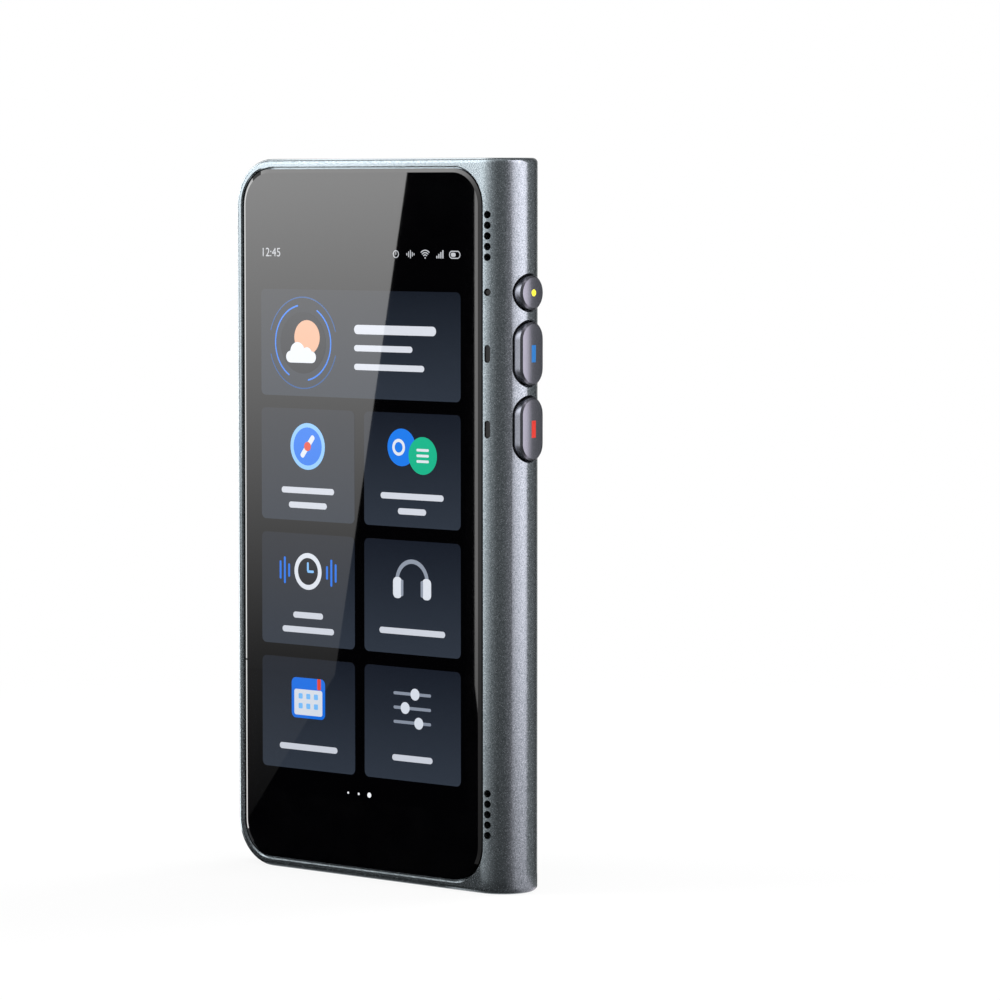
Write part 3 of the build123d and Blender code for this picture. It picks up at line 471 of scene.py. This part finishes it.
def tile(x, z, width, height, radius, layer, turn=0.0):
    """A thin rounded rectangle round x, z."""
    start()
    bpy.ops.mesh.primitive_cube_add(size=1)
    obj = bpy.context.object
    obj.scale = (width * MM, LAYER, height * MM)
    bpy.ops.object.transform_apply(location=False, rotation=False, scale=True)
    if radius:
        bpy.ops.object.mode_set(mode="EDIT")
        bpy.ops.mesh.select_all(action="DESELECT")
        bpy.ops.mesh.select_mode(type="EDGE")
        mesh = bmesh.from_edit_mesh(obj.data)
        for edge in mesh.edges:
            a, b = (vertex.co for vertex in edge.verts)
            edge.select = abs(a.x - b.x) < SAME and abs(a.z - b.z) < SAME
        bmesh.update_edit_mesh(obj.data)
        offset = min(radius, MOST_ROUND * width, MOST_ROUND * height) * MM
        bpy.ops.mesh.bevel(offset=offset, segments=CORNER_STEPS, affect="EDGES")
        bpy.ops.object.mode_set(mode="OBJECT")
    obj.rotation_euler = (0, turn, 0)
    return laid_on_glass(x, z, layer)


def disc(x, z, radius, layer, sides=40):
    """A thin round disc."""
    start()
    quarter = (math.pi / 2, 0, 0)
    bpy.ops.mesh.primitive_cylinder_add(vertices=sides, radius=radius * MM, depth=LAYER, rotation=quarter)
    return laid_on_glass(x, z, layer)


def arc(x, z, radius, width, first, last, layer, steps=28):
    """Part of a thin ring, between two angles in degrees from +X towards +Z."""
    start()
    bpy.ops.mesh.primitive_plane_add(size=1)
    obj = bpy.context.object
    obj.scale = (width * MM, LAYER, 1)
    obj.location = (radius * MM, 0, 0)
    bpy.ops.object.transform_apply(location=True, rotation=False, scale=True)
    obj.rotation_euler = (0, -math.radians(first), 0)
    bpy.ops.object.transform_apply(location=False, rotation=True, scale=False)
    bpy.ops.object.mode_set(mode="EDIT")
    bpy.ops.mesh.select_all(action="SELECT")
    sweep = math.radians(last - first)
    bpy.ops.mesh.spin(steps=steps, angle=sweep, center=(0, 0, 0), axis=(0, 1, 0))
    bpy.ops.mesh.select_all(action="SELECT")
    bpy.ops.mesh.remove_doubles(threshold=SAME)
    bpy.ops.mesh.normals_make_consistent(inside=False)
    bpy.ops.object.mode_set(mode="OBJECT")
    return laid_on_glass(x, z, layer)


def joined(name, pieces, material):
    """One object from several pieces, finished and carried by the housing."""
    start()
    for piece in pieces:
        piece.select_set(True)
    bpy.context.view_layer.objects.active = pieces[0]
    if len(pieces) > 1:
        bpy.ops.object.join()
    obj = bpy.context.object
    obj.name = name
    obj.data.name = name
    obj.data.materials.clear()
    obj.data.materials.append(material)
    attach(obj, HOUSING)


# ---------------------------------------------------------------- the picture on the screen
def over_screen(name, low, high):
    """A screen colour that runs from the foot of the lit area to its top."""
    return lit_colour(name, low, high, LIT_TOP - LIT_HEIGHT, LIT_TOP)


def tile_centre(row, column):
    """Centre of a small tile; row 0 is the upper one."""
    x = GRID_LEFT + TILE_WIDTH / 2 + column * (TILE_WIDTH + COLUMN_GAP)
    z = TILE_TOP - TILE_HEIGHT / 2 - row * TILE_PITCH
    return x, z


def screen_ground():
    """The lit area itself: a black that is a shade lighter than the border."""
    x = LIT_LEFT + LIT_WIDTH / 2
    z = LIT_TOP - LIT_HEIGHT / 2
    ground = tile(x, z, LIT_WIDTH, LIT_HEIGHT, 0, GROUND)
    joined("screen_ground", [ground], over_screen("screen_black", "#020203", "#030304"))


def screen_tiles():
    """The wide tile and the rows of small ones, each paler at its foot."""
    middle = (GRID_LEFT + GRID_RIGHT) / 2
    wide = tile(middle, WIDE_Z, GRID_RIGHT - GRID_LEFT, WIDE_HEIGHT, TILE_CORNER, TILES)
    shade = lit_colour("tile_wide", "#2f3641", "#1a1f28", WIDE_Z - WIDE_HEIGHT / 2, WIDE_TOP)
    joined("screen_tile_wide", [wide], shade)
    for row in range(TILE_ROWS):
        centres = [tile_centre(row, column) for column in range(TILE_COLUMNS)]
        pieces = [tile(x, z, TILE_WIDTH, TILE_HEIGHT, TILE_CORNER, TILES) for x, z in centres]
        z = centres[0][1]
        half = TILE_HEIGHT / 2
        shade = lit_colour(f"tile_row_{row}", "#303742", "#1a1f29", z - half, z + half)
        joined(f"screen_tiles_{row}", pieces, shade)


def caption_bars():
    """Plain rounded bars where captions would stand."""
    bars = []
    for length, rise, height in ((17.5, 2.4, THICK_BAR), (12.5, -0.6, THIN_BAR), (15.0, -3.6, THIN_BAR)):
        bars.append((WIDE_BARS_LEFT + length / 2, WIDE_Z + rise, length, height))
    lengths_of = {
        (0, 0): (11.6, 8.4),
        (0, 1): (13.4, 6.0),
        (1, 0): (6.6, 11.4),
        (1, 1): (14.0,),
        (2, 0): (12.8,),
        (2, 1): (8.6,),
    }
    for (row, column), lengths in lengths_of.items():
        x, z = tile_centre(row, column)
        rises = ONE_BAR if len(lengths) == 1 else TWO_BARS
        bars += [(x, z - TILE_HEIGHT / 2 + rise, length, THIN_BAR) for rise, length in zip(rises, lengths)]
    pieces = [tile(x, z, length, height, height / 2, SIGNS) for x, z, length, height in bars]
    joined("screen_bars", pieces, over_screen("bar_white", "#c6cbd6", "#dde1ea"))


def clock():
    """Four plain digits of the time."""
    start()
    bpy.ops.object.text_add(rotation=(math.pi / 2, 0, 0))
    digits = bpy.context.object
    digits.data.body = "12:45"
    digits.data.size = CLOCK_SIZE * MM
    digits.data.extrude = LAYER / 2
    digits.data.align_y = "CENTER"
    bpy.ops.object.convert(target="MESH")
    return [laid_on_glass(GRID_LEFT, STATUS_Z, SIGNS)]


def charge_sign(x, z):
    """A round-ended cell, about half full."""
    ends = [arc(x + side * 0.55, z, 0.55, 0.16, a, a + 180, SIGNS, 12) for side, a in ((1, -90), (-1, 90))]
    walls = [tile(x, z + side * 0.55, 1.1, 0.16, 0, SIGNS) for side in (-1, 1)]
    return ends + walls + [tile(x - 0.3, z, 1.0, 0.65, 0.3, SIGNS)]


def signal_sign(x, z):
    """Four bars that rise to the right."""
    heights = [0.4 + 0.3 * k for k in range(4)]
    places = [(x + (k - 1.5) * 0.42, z - SIGN_FOOT + height / 2) for k, height in enumerate(heights)]
    return [tile(*place, 0.24, height, 0.06, SIGNS) for place, height in zip(places, heights)]


def wireless_sign(x, z):
    """Three arcs over a dot."""
    foot = z - SIGN_FOOT
    arcs = [arc(x, foot, 0.15 + 0.37 * k, 0.17, 45, 135, SIGNS, 10) for k in range(1, 4)]
    return arcs + [disc(x, foot + 0.05, 0.13, SIGNS, 12)]


def voice_sign(x, z):
    """Five upright strokes of a sound wave."""
    heights = (0.4, 0.9, 1.3, 0.7, 0.35)
    return [tile(x + (k - 2) * 0.38, z, 0.17, height, 0.06, SIGNS) for k, height in enumerate(heights)]


def ring_sign(x, z):
    """A ring with a short hand."""
    return [arc(x, z, 0.55, 0.15, 0, 360, SIGNS), tile(x, z + 0.15, 0.14, 0.5, 0, SIGNS)]


def status_row():
    """The time at the left, small signs from the right edge inwards, and the dots of the pages."""
    pieces = clock()
    for place, sign in enumerate((charge_sign, signal_sign, wireless_sign, voice_sign, ring_sign)):
        pieces += sign(GRID_RIGHT - SIGN_MARGIN - place * SIGN_PITCH, STATUS_Z)
    joined("screen_status", pieces, over_screen("status_white", "#b8bbc0", "#c4c7cc"))

    radii = {-1: 0.18, 0: 0.2, 1: 0.42}
    dots = [disc(DOTS_X + k * DOT_PITCH, DOTS_Z, radius, SIGNS, 24) for k, radius in radii.items()]
    joined("screen_page_dots", dots, over_screen("dot_white", "#f4f6fa", "#ffffff"))


# Motif colours: at the foot of the lit area, and at its top.
MOTIF_COLOURS = {
    "white": ("#cfd6e2", "#eef2f8"),
    "blue": ("#1668da", "#2a86f4"),
    "deep_blue": ("#12477f", "#175598"),
    "sky": ("#6db4f4", "#a0d2ff"),
    "green": ("#159a74", "#27c498"),
    "grey": ("#7f8898", "#a4acba"),
    "dark": ("#0e121a", "#161b25"),
    "warm": ("#d89a76", "#f0bc9c"),
    "red": ("#d8402e", "#e85c46"),
}
WEATHER_X = GRID_LEFT + 9.3


def weather(motifs, x, z):
    """Two pairs of thin arcs round a dark disc, and on it a warm disc that sets behind a cloud."""
    motifs["deep_blue"] += [arc(x, z, 7.4, 0.2, first, first + 150, 3) for first in (15, 195)]
    motifs["blue"] += [arc(x, z, 6.1, 0.26, first, first + 140, 3) for first in (100, 280)]
    motifs["dark"] += [disc(x, z, 5.0, 3)]
    motifs["warm"] += [disc(x + 0.9, z + 0.9, 2.8, 4)]
    motifs["white"] += [disc(x - 1.2, z - 1.5, 1.6, 5), disc(x + 0.9, z - 1.8, 1.1, 6)]
    motifs["white"] += [tile(x - 0.4, z - 2.3, 6.6, 1.9, 0.95, 7)]


def compass(motifs, x, z):
    """A blue dial with a pale rim, a needle and a red hub."""
    motifs["sky"] += [disc(x, z, 3.8, 3)]
    motifs["blue"] += [disc(x, z, 3.1, 4)]
    motifs["white"] += [tile(x, z, 0.9, 4.4, 0.4, 5, math.radians(38))]
    motifs["red"] += [disc(x, z, 0.75, 6, 24)]


def counters(motifs, x, z):
    """Two overlapping counters: a blue one with a ring, and a green one with three lines."""
    motifs["blue"] += [disc(x - 2.2, z + 0.6, 3.0, 3)]
    motifs["green"] += [disc(x + 2.3, z - 0.6, 3.0, 4)]
    motifs["white"] += [arc(x - 2.8, z + 0.6, 1.1, 0.5, 0, 360, 5)]
    motifs["white"] += [tile(x + 2.3, z - 0.6 + 0.9 * k, 2.6, 0.42, 0.2, 5) for k in (-1, 0, 1)]


def alarm(motifs, x, z):
    """A clock face between blue level bars."""
    motifs["white"] += [disc(x, z, 3.0, 3)]
    motifs["dark"] += [disc(x, z, 2.2, 4)]
    motifs["sky"] += [tile(x, z + 0.75, 0.4, 1.5, 0.15, 5), tile(x + 0.6, z, 1.4, 0.4, 0.15, 5)]
    for side in (-1, 1):
        for k, height in enumerate((2.2, 4.4, 3.0)):
            motifs["blue"] += [tile(x + side * (4.2 + 0.95 * k), z, 0.42, height, 0.2, 3)]


def headphones(motifs, x, z):
    """A grey band with two white cups on grey pads."""
    motifs["grey"] += [arc(x, z, 3.2, 0.7, 0, 180, 3)]
    motifs["white"] += [tile(x + side * 3.1, z - 1.1, 1.9, 3.4, 0.8, 4) for side in (-1, 1)]
    motifs["grey"] += [tile(x + side * 2.1, z - 1.1, 0.5, 2.6, 0.2, 5) for side in (-1, 1)]


def calendar(motifs, x, z):
    """A blue leaf with six days and a red tab."""
    motifs["blue"] += [tile(x, z, 7.4, 6.6, 0.9, 3)]
    motifs["white"] += [tile(x, z - 0.7, 6.2, 4.2, 0.4, 4)]
    for day in (-1, 0, 1):
        for week in range(2):
            motifs["sky"] += [tile(x + day * 1.7, z + 0.3 - week * 1.6, 0.9, 0.9, 0.2, 5)]
    motifs["red"] += [tile(x + 2.4, z + 2.4, 0.8, 1.8, 0.2, 5)]


def sliders(motifs, x, z):
    """Three sliders with round knobs."""
    for k, place in ((-1, 1.4), (0, -1.5), (1, 0.6)):
        motifs["grey"] += [tile(x, z + k * 2.3, 8.0, 0.5, 0.25, 3)]
        motifs["white"] += [disc(x + place, z + k * 2.3, 0.95, 4, 28)]


def screen_motifs():
    """Plain coloured motifs, one for each tile, joined by colour."""
    motifs = {name: [] for name in MOTIF_COLOURS}
    weather(motifs, WEATHER_X, WIDE_Z)

    # Each small tile's motif, and how far over the middle of the tile it stands.
    drawings = {
        (0, 0): (compass, 3.0),
        (0, 1): (counters, 3.0),
        (1, 0): (alarm, 3.0),
        (1, 1): (headphones, 2.6),
        (2, 0): (calendar, 2.6),
        (2, 1): (sliders, 2.6),
    }
    for (row, column), (draw, rise) in drawings.items():
        x, z = tile_centre(row, column)
        draw(motifs, x, z + rise)
    for name, (low, high) in MOTIF_COLOURS.items():
        joined(f"motifs_{name}", motifs[name], over_screen(f"motif_{name}", low, high))


# ---------------------------------------------------------------- studio, in metres
# Azimuths are in degrees round the part: 0 is in front of the screen and 90 on the spine's side.
WHITE = (1.0, 1.0, 1.0, 1.0)
WORLD_LIGHT = 0.55

# The floor turns from a surface that takes shadows to plain white between these distances.
FLOOR_R = 3.0
FADE_FROM, FADE_TO = 0.05, 0.3
LEAST_WHITE = 0.85

# Lamps: azimuth, distance, height, width and height of the face, and watts.
LAMPS = {
    "key": (-50, 0.9, 0.55, (0.6, 0.6), 7),
    "side": (95, 0.8, 0.3, (0.3, 0.6), 4),
    "rear": (165, 0.9, 0.5, (0.6, 0.6), 7),
}

# The round room that the metal mirrors has the axis of the half-round spine.
SPINE_AXIS = (0.0237, 0.0, 0.0)
ROOM_R = 0.5
ROOM_HEIGHT = 0.8
ROUND_STEPS = 96
PLAIN = (1.0, 1.0, 1.0)
LILAC = (1.05, 0.95, 1.01)

# Its glow: azimuth, level and tint.
ROOM_PEAK = 4.0
ROOM_STOPS = (
    (-180, 0.35, PLAIN),
    (-134, 0.35, PLAIN),
    (-124, 2.6, PLAIN),
    (-100, 2.6, PLAIN),
    (-92, 0.7, PLAIN),
    (-55, 0.4, PLAIN),
    (-46, 3.4, PLAIN),
    (-30, 3.0, PLAIN),
    (-14, 1.5, PLAIN),
    (4, 0.64, PLAIN),
    (20, 0.22, PLAIN),
    (48, 0.22, PLAIN),
    (64, 0.6, LILAC),
    (80, 2.5, LILAC),
    (112, 3.8, LILAC),
    (125, 3.2, LILAC),
    (136, 1.1, PLAIN),
    (180, 0.35, PLAIN),
)

# Shares of that glow on the floor near the spine and at the wall, and the gain high on the wall. The low
# share near the spine is painted shade of the part's shadow on the floor.
NEAR_R = 0.01
NEAR_SHADOW_SHARE, WALL_SHARE = 0.3, 0.87
GAIN_Z = 0.3
HIGH_GAIN = 1.7

# Cloths on the floor lie in this order, each a little above the last.
ROOM_FLOOR_Z = 0.2 * MM
CLOTH_Z = 0.4 * MM
CONTACT_SHADOW_Z = 0.5 * MM
EDGE_FOOT_Z = 0.6 * MM

# In front: the board that the glass mirrors. Its right edge slants, so its light ends in a slant on
# the screen. A black flag stands beside it.
SLANT_FOOT = (-0.2095, -0.2255, 0.0)
SLANT_HEAD = (-0.1906, -0.2297, 0.1162)
BOARD_NEAR = (-0.29, -0.225)
BOARD_FAR = (-0.45, -0.222)
BOARD_STEP = 0.16
BOARD_TOP = 0.6
BOARD_BRIGHT_Z = 0.113
DARK_FAR = (-0.1735, -0.2328)
DARK_TOP = 0.125

# Where the slant and the far edge of the dark strip run on over the floor, to the foot of the part.
SLANT_NEAR = (-0.0335, -0.0070, CLOTH_Z)
DARK_NEAR = (0.0262, -0.0070, CLOTH_Z)
# The black cloth round the foot of the part: painted shade of the part's shadow on the floor, seen only in
# reflections.
FOOT_X = 0.034
FOOT_FRONT, FOOT_BACK = -0.014, -0.005

# Behind: azimuths and distances of the rear light and the flag over it, and the cloth before them.
REAR_LIGHT = (132, 200)
REAR_LIGHT_R = 0.47
REAR_LIGHT_TOP = 0.16
REAR_BRIGHT_Z = 0.085
REAR_FLAG = (118, 215)
REAR_FLAG_R = 0.46
REAR_DARK = 0.35
REAR_FOOT = ((-0.03, 0.008), (0.0, 0.008), (0.03, 0.02))
REAR_RUN = (REAR_FOOT[1], (0.2, 0.34))
CEILING_FRONT = -0.05
CEILING_Z = 0.79

# At the left: azimuths and distances of the light for the ground edge of the glass.
EDGE_LIGHT = (-88, -72)
EDGE_FAR, EDGE_NEAR = 0.35, 0.05
EDGE_BOTTOM, EDGE_TOP = 0.001, 0.3

# Close flags: plan points beside the crest of the spine, and beside the left edge of the back.
CREST = ((0.0385, 0.0068), (0.0275, 0.0128), (0.0235, 0.0150))
BACK_EDGE = ((-0.0400, 0.0015), (-0.0290, 0.0150))
FLAG_BOTTOM, FLAG_TOP = 0.001, 0.13


def seen_directly(tree):
    """1 for camera, mirror and see-through rays, and 0 for the light that the room throws back."""
    path = add_node(tree, "ShaderNodeLightPath", []).outputs
    rays = [path["Is Camera Ray"], path["Is Glossy Ray"]]
    total = add_node(tree, "ShaderNodeMath", rays, operation="ADD")
    rays = [total, path["Is Transmission Ray"]]
    return add_node(tree, "ShaderNodeMath", rays, operation="ADD", use_clamp=True)


def floor():
    """A pale floor that keeps the shadow near the part and fades to white further out."""
    start()
    middle = (0, 0, LOW.z)
    bpy.ops.mesh.primitive_circle_add(
        vertices=ROUND_STEPS, radius=FLOOR_R, fill_type="NGON", location=middle
    )
    obj = bpy.context.object
    obj.name = "floor"
    material, tree, point = new_material("pale_floor")
    distance = add_node(tree, "ShaderNodeVectorMath", [point], operation="LENGTH")
    fade = add_node(tree, "ShaderNodeMapRange", [distance, FADE_FROM, FADE_TO, LEAST_WHITE, 1.0])
    share = add_node(tree, "ShaderNodeMath", [fade, seen_directly(tree)], operation="MULTIPLY")
    diffuse = add_node(tree, "ShaderNodeBsdfDiffuse", {"Color": linear("#f4f4f4")})
    white = add_node(tree, "ShaderNodeEmission", {"Color": WHITE, "Strength": 1.0})
    mixed = add_node(tree, "ShaderNodeMixShader", [share, diffuse, white])
    add_node(tree, "ShaderNodeOutputMaterial", {"Surface": mixed})
    obj.data.materials.append(material)


def world():
    """A white room for the eye and for reflections, and a softer one for the light it gives."""
    room = bpy.data.worlds.new("room")
    bpy.context.scene.world = room
    room.use_nodes = True
    tree = room.node_tree
    tree.nodes.clear()
    levels = [seen_directly(tree), 0.0, 1.0, WORLD_LIGHT, 1.0]
    strength = add_node(tree, "ShaderNodeMapRange", levels)
    background = add_node(tree, "ShaderNodeBackground", {"Color": WHITE, "Strength": strength})
    add_node(tree, "ShaderNodeOutputWorld", {"Surface": background})


def around(azimuth, distance, height=0.0):
    """A point round the part."""
    a = math.radians(azimuth)
    return distance * math.sin(a), -distance * math.cos(a), height


def softbox(name, azimuth, distance, height, size, power):
    """A rectangular lamp that faces the part and gives it body light, but no glints."""
    light = bpy.data.lights.new(name, "AREA")
    light.shape = "RECTANGLE"
    light.size, light.size_y = size
    light.energy = power
    obj = bpy.data.objects.new(name, light)
    bpy.context.scene.collection.objects.link(obj)
    obj.location = around(azimuth, distance, height)
    drop = math.atan2(height - HIGH.z / 2, distance)
    obj.rotation_euler = (math.pi / 2 - drop, 0, math.radians(azimuth))
    obj.visible_glossy = False


def for_reflections(obj, name, glow):
    """Makes a thing that only reflections see; glow gives its colour and strength in its node tree."""
    obj.name = name
    material, tree, point = new_material(name + "_cloth")
    colour, strength = glow(tree, point)
    emission = add_node(tree, "ShaderNodeEmission", {"Color": colour, "Strength": strength})
    add_node(tree, "ShaderNodeOutputMaterial", {"Surface": emission})
    obj.data.materials.append(material)
    obj.visible_camera = False
    obj.visible_diffuse = False
    obj.visible_shadow = False
    obj.visible_transmission = False


def board(name, corners, glow):
    """A flat studio board with its corners where they are given."""
    start()
    bpy.ops.mesh.primitive_circle_add(vertices=len(corners), radius=1, fill_type="NGON")
    obj = bpy.context.object
    for vertex, corner in zip(obj.data.vertices, corners):
        vertex.co = corner
    for_reflections(obj, name, glow)


def upright(first, last, bottom, top):
    """Corners of an upright board between two plan points."""
    return [(*first[:2], bottom), (*last[:2], bottom), (*last[:2], top), (*first[:2], top)]


def even_glow(level):
    """The same glow all over."""
    return lambda tree, point: (WHITE, level)


def height_glow(low, high, dark, light, power=1.0):
    """A glow that rises with height, faster towards the top when power is above 1."""

    def glow(tree, point):
        height = add_node(tree, "ShaderNodeSeparateXYZ", {"Vector": point}).outputs["Z"]
        share = add_node(tree, "ShaderNodeMapRange", [height, low, high, 0.0, 1.0])
        curved = add_node(tree, "ShaderNodeMath", [share, power], operation="POWER")
        return WHITE, add_node(tree, "ShaderNodeMapRange", [curved, 0.0, 1.0, dark, light])

    return glow


def run_glow(first, last, at_first, at_last):
    """A glow that changes evenly from one plan point to the other."""

    def glow(tree, point):
        run = [b - a for a, b in zip(first[:2], last[:2])]
        square = sum(c * c for c in run)
        off = add_node(tree, "ShaderNodeVectorMath", [point, (*first[:2], 0)], operation="SUBTRACT")
        per_run = (run[0] / square, run[1] / square, 0)
        along = add_node(tree, "ShaderNodeVectorMath", [off, per_run], operation="DOT_PRODUCT")
        return WHITE, add_node(tree, "ShaderNodeMapRange", [along, 0.0, 1.0, at_first, at_last])

    return glow


def room_glow(tree, point):
    """The room's glow: by azimuth round the spine, dimmer over the near floor as painted shade of the part's
    shadow, and brighter high up.
    """
    off = add_node(tree, "ShaderNodeVectorMath", [point, SPINE_AXIS], operation="SUBTRACT")
    parts = add_node(tree, "ShaderNodeSeparateXYZ", {"Vector": off}).outputs
    ahead = add_node(tree, "ShaderNodeMath", [parts["Y"], -1.0], operation="MULTIPLY")
    azimuth = add_node(tree, "ShaderNodeMath", [parts["X"], ahead], operation="ARCTAN2")
    turn = add_node(tree, "ShaderNodeMapRange", [azimuth, -math.pi, math.pi, 0.0, 1.0])
    stops = [
        ((angle + 180) / 360, [c * level / ROOM_PEAK for c in tint] + [1.0])
        for angle, level, tint in ROOM_STOPS
    ]
    colour = add_node(tree, "ShaderNodeValToRGB", [turn], stops)
    plan = add_node(tree, "ShaderNodeVectorMath", [off, (1, 1, 0)], operation="MULTIPLY")
    radius = add_node(tree, "ShaderNodeVectorMath", [plan], operation="LENGTH")
    # Dimmer towards the spine: painted shade of the part's shadow on the floor.
    out = add_node(tree, "ShaderNodeMapRange", [radius, NEAR_R, ROOM_R, NEAR_SHADOW_SHARE, WALL_SHARE])
    gains = [parts["Z"], 0.0, GAIN_Z, ROOM_PEAK, ROOM_PEAK * HIGH_GAIN]
    up = add_node(tree, "ShaderNodeMapRange", gains)
    return colour, add_node(tree, "ShaderNodeMath", [out, up], operation="MULTIPLY")


def room_round():
    """The wall and the floor of the room that the metal mirrors."""
    start()
    bpy.ops.mesh.primitive_cylinder_add(
        vertices=ROUND_STEPS,
        radius=ROOM_R,
        depth=ROOM_HEIGHT,
        end_fill_type="NOTHING",
        location=(SPINE_AXIS[0], 0, ROOM_HEIGHT / 2),
    )
    bpy.ops.object.transform_apply(location=True, rotation=False, scale=False)
    for_reflections(bpy.context.object, "room_wall", room_glow)
    start()
    middle = (SPINE_AXIS[0], 0, ROOM_FLOOR_Z)
    bpy.ops.mesh.primitive_circle_add(
        vertices=ROUND_STEPS, radius=ROOM_R, fill_type="NGON", location=middle
    )
    bpy.ops.object.transform_apply(location=True, rotation=False, scale=False)
    for_reflections(bpy.context.object, "room_floor", room_glow)


def front_boards():
    """The lit board with the black flag beside it, the cloths at their feet, and a black cloth at the part's
    foot that is painted shade of its shadow.
    """
    lit = [
        (*BOARD_NEAR, 0.0),
        SLANT_FOOT,
        SLANT_HEAD,
        (*SLANT_HEAD[:2], BOARD_TOP),
        (*BOARD_FAR, BOARD_TOP),
        (*BOARD_FAR, BOARD_STEP),
        (*BOARD_NEAR, BOARD_STEP),
    ]
    board("mirrored_board", lit, height_glow(0.0, BOARD_BRIGHT_Z, dark=0.33, light=5.1, power=1.3))
    flag = [
        SLANT_FOOT,
        (*DARK_FAR, 0.0),
        (*DARK_FAR, DARK_TOP),
        (*SLANT_HEAD[:2], DARK_TOP),
        SLANT_HEAD,
    ]
    board("mirrored_flag", flag, even_glow(0.0))
    slant_far = (*SLANT_FOOT[:2], CLOTH_Z)
    lit_cloth = [(*BOARD_NEAR, CLOTH_Z), SLANT_NEAR, slant_far]
    board("lit_cloth", lit_cloth, run_glow(SLANT_NEAR, SLANT_FOOT, at_first=0.0, at_last=0.3))
    dark_cloth = [slant_far, SLANT_NEAR, DARK_NEAR, (*DARK_FAR, CLOTH_Z)]
    board("dark_cloth", dark_cloth, even_glow(0.0))
    # A black cloth round the foot, seen only in reflections: painted shade of the part's shadow on the
    # floor.
    corners = ((-FOOT_X, FOOT_FRONT), (FOOT_X, FOOT_FRONT), (FOOT_X, FOOT_BACK), (-FOOT_X, FOOT_BACK))
    board("contact_shadow_cloth", [(x, y, CONTACT_SHADOW_Z) for x, y in corners], even_glow(0.0))


def rear_boards():
    """A light that rises from the floor behind, for the back plate, under dark flags."""
    left, right = (around(azimuth, REAR_LIGHT_R) for azimuth in REAR_LIGHT)
    light = upright(left, right, 0.0, REAR_LIGHT_TOP)
    board("rear_light", light, height_glow(0.0, REAR_BRIGHT_Z, dark=1.1, light=2.1))
    cloth = [(x, y, CLOTH_Z) for x, y in REAR_FOOT]
    cloth += [around(azimuth, REAR_FLAG_R, CLOTH_Z) for azimuth in REAR_LIGHT]
    board("rear_cloth", cloth, run_glow(*REAR_RUN, at_first=0.75, at_last=1.1))
    left, right = (around(azimuth, REAR_FLAG_R) for azimuth in REAR_FLAG)
    board("rear_flag", upright(left, right, REAR_LIGHT_TOP, ROOM_HEIGHT), even_glow(REAR_DARK))
    corners = ((-ROOM_R, CEILING_FRONT), (ROOM_R, CEILING_FRONT), (ROOM_R, ROOM_R), (-ROOM_R, ROOM_R))
    board("ceiling_flag", [(x, y, CEILING_Z) for x, y in corners], even_glow(REAR_DARK))


def edge_boards():
    """A strong light that glints in the ground edge of the glass, and close flags for other edges."""
    first, last = (around(azimuth, EDGE_FAR) for azimuth in EDGE_LIGHT)
    light = upright(first, last, EDGE_BOTTOM, EDGE_TOP)
    board("edge_light", light, run_glow(first, last, at_first=8.0, at_last=6.0))
    strip = [around(azimuth, EDGE_NEAR, EDGE_FOOT_Z) for azimuth in EDGE_LIGHT]
    strip += [around(azimuth, EDGE_FAR, EDGE_FOOT_Z) for azimuth in reversed(EDGE_LIGHT)]
    board("edge_light_foot", strip, even_glow(7.0))

    # The far edge of the spine, and the rounded left edge of the back, stay dark.
    crest = upright(*CREST[:2], FLAG_BOTTOM, FLAG_TOP)
    board("crest_flag", crest, run_glow(*CREST[:2], at_first=0.5, at_last=0.0))
    crest_end = upright(*CREST[1:], FLAG_BOTTOM, FLAG_TOP)
    board("crest_flag_end", crest_end, run_glow(*CREST[1:], at_first=0.05, at_last=0.45))
    board("edge_flag", upright(*BACK_EDGE, FLAG_BOTTOM, FLAG_TOP), even_glow(0.3))


def studio():
    """Floor, room, lamps, and the boards that shape the reflections."""
    floor()
    world()
    for name, lamp in LAMPS.items():
        softbox(name, *lamp)
    room_round()
    front_boards()
    rear_boards()
    edge_boards()


def camera():
    """The camera, which frames the part with room round it."""
    data = bpy.data.cameras.new("camera")
    data.lens = LENS_MM
    data.sensor_width = SENSOR_MM
    data.clip_start = 0.01
    obj = bpy.data.objects.new("camera", data)
    bpy.context.scene.collection.objects.link(obj)
    obj.location = CAMERA_AT
    obj.rotation_euler = (math.pi / 2 - CAMERA_DIP, 0, CAMERA_TURN)
    bpy.context.scene.camera = obj
    bpy.context.scene.view_settings.view_transform = "Standard"


camera()
studio()
dress_nodes()
screen_ground()
screen_tiles()
caption_bars()
status_row()
screen_motifs()
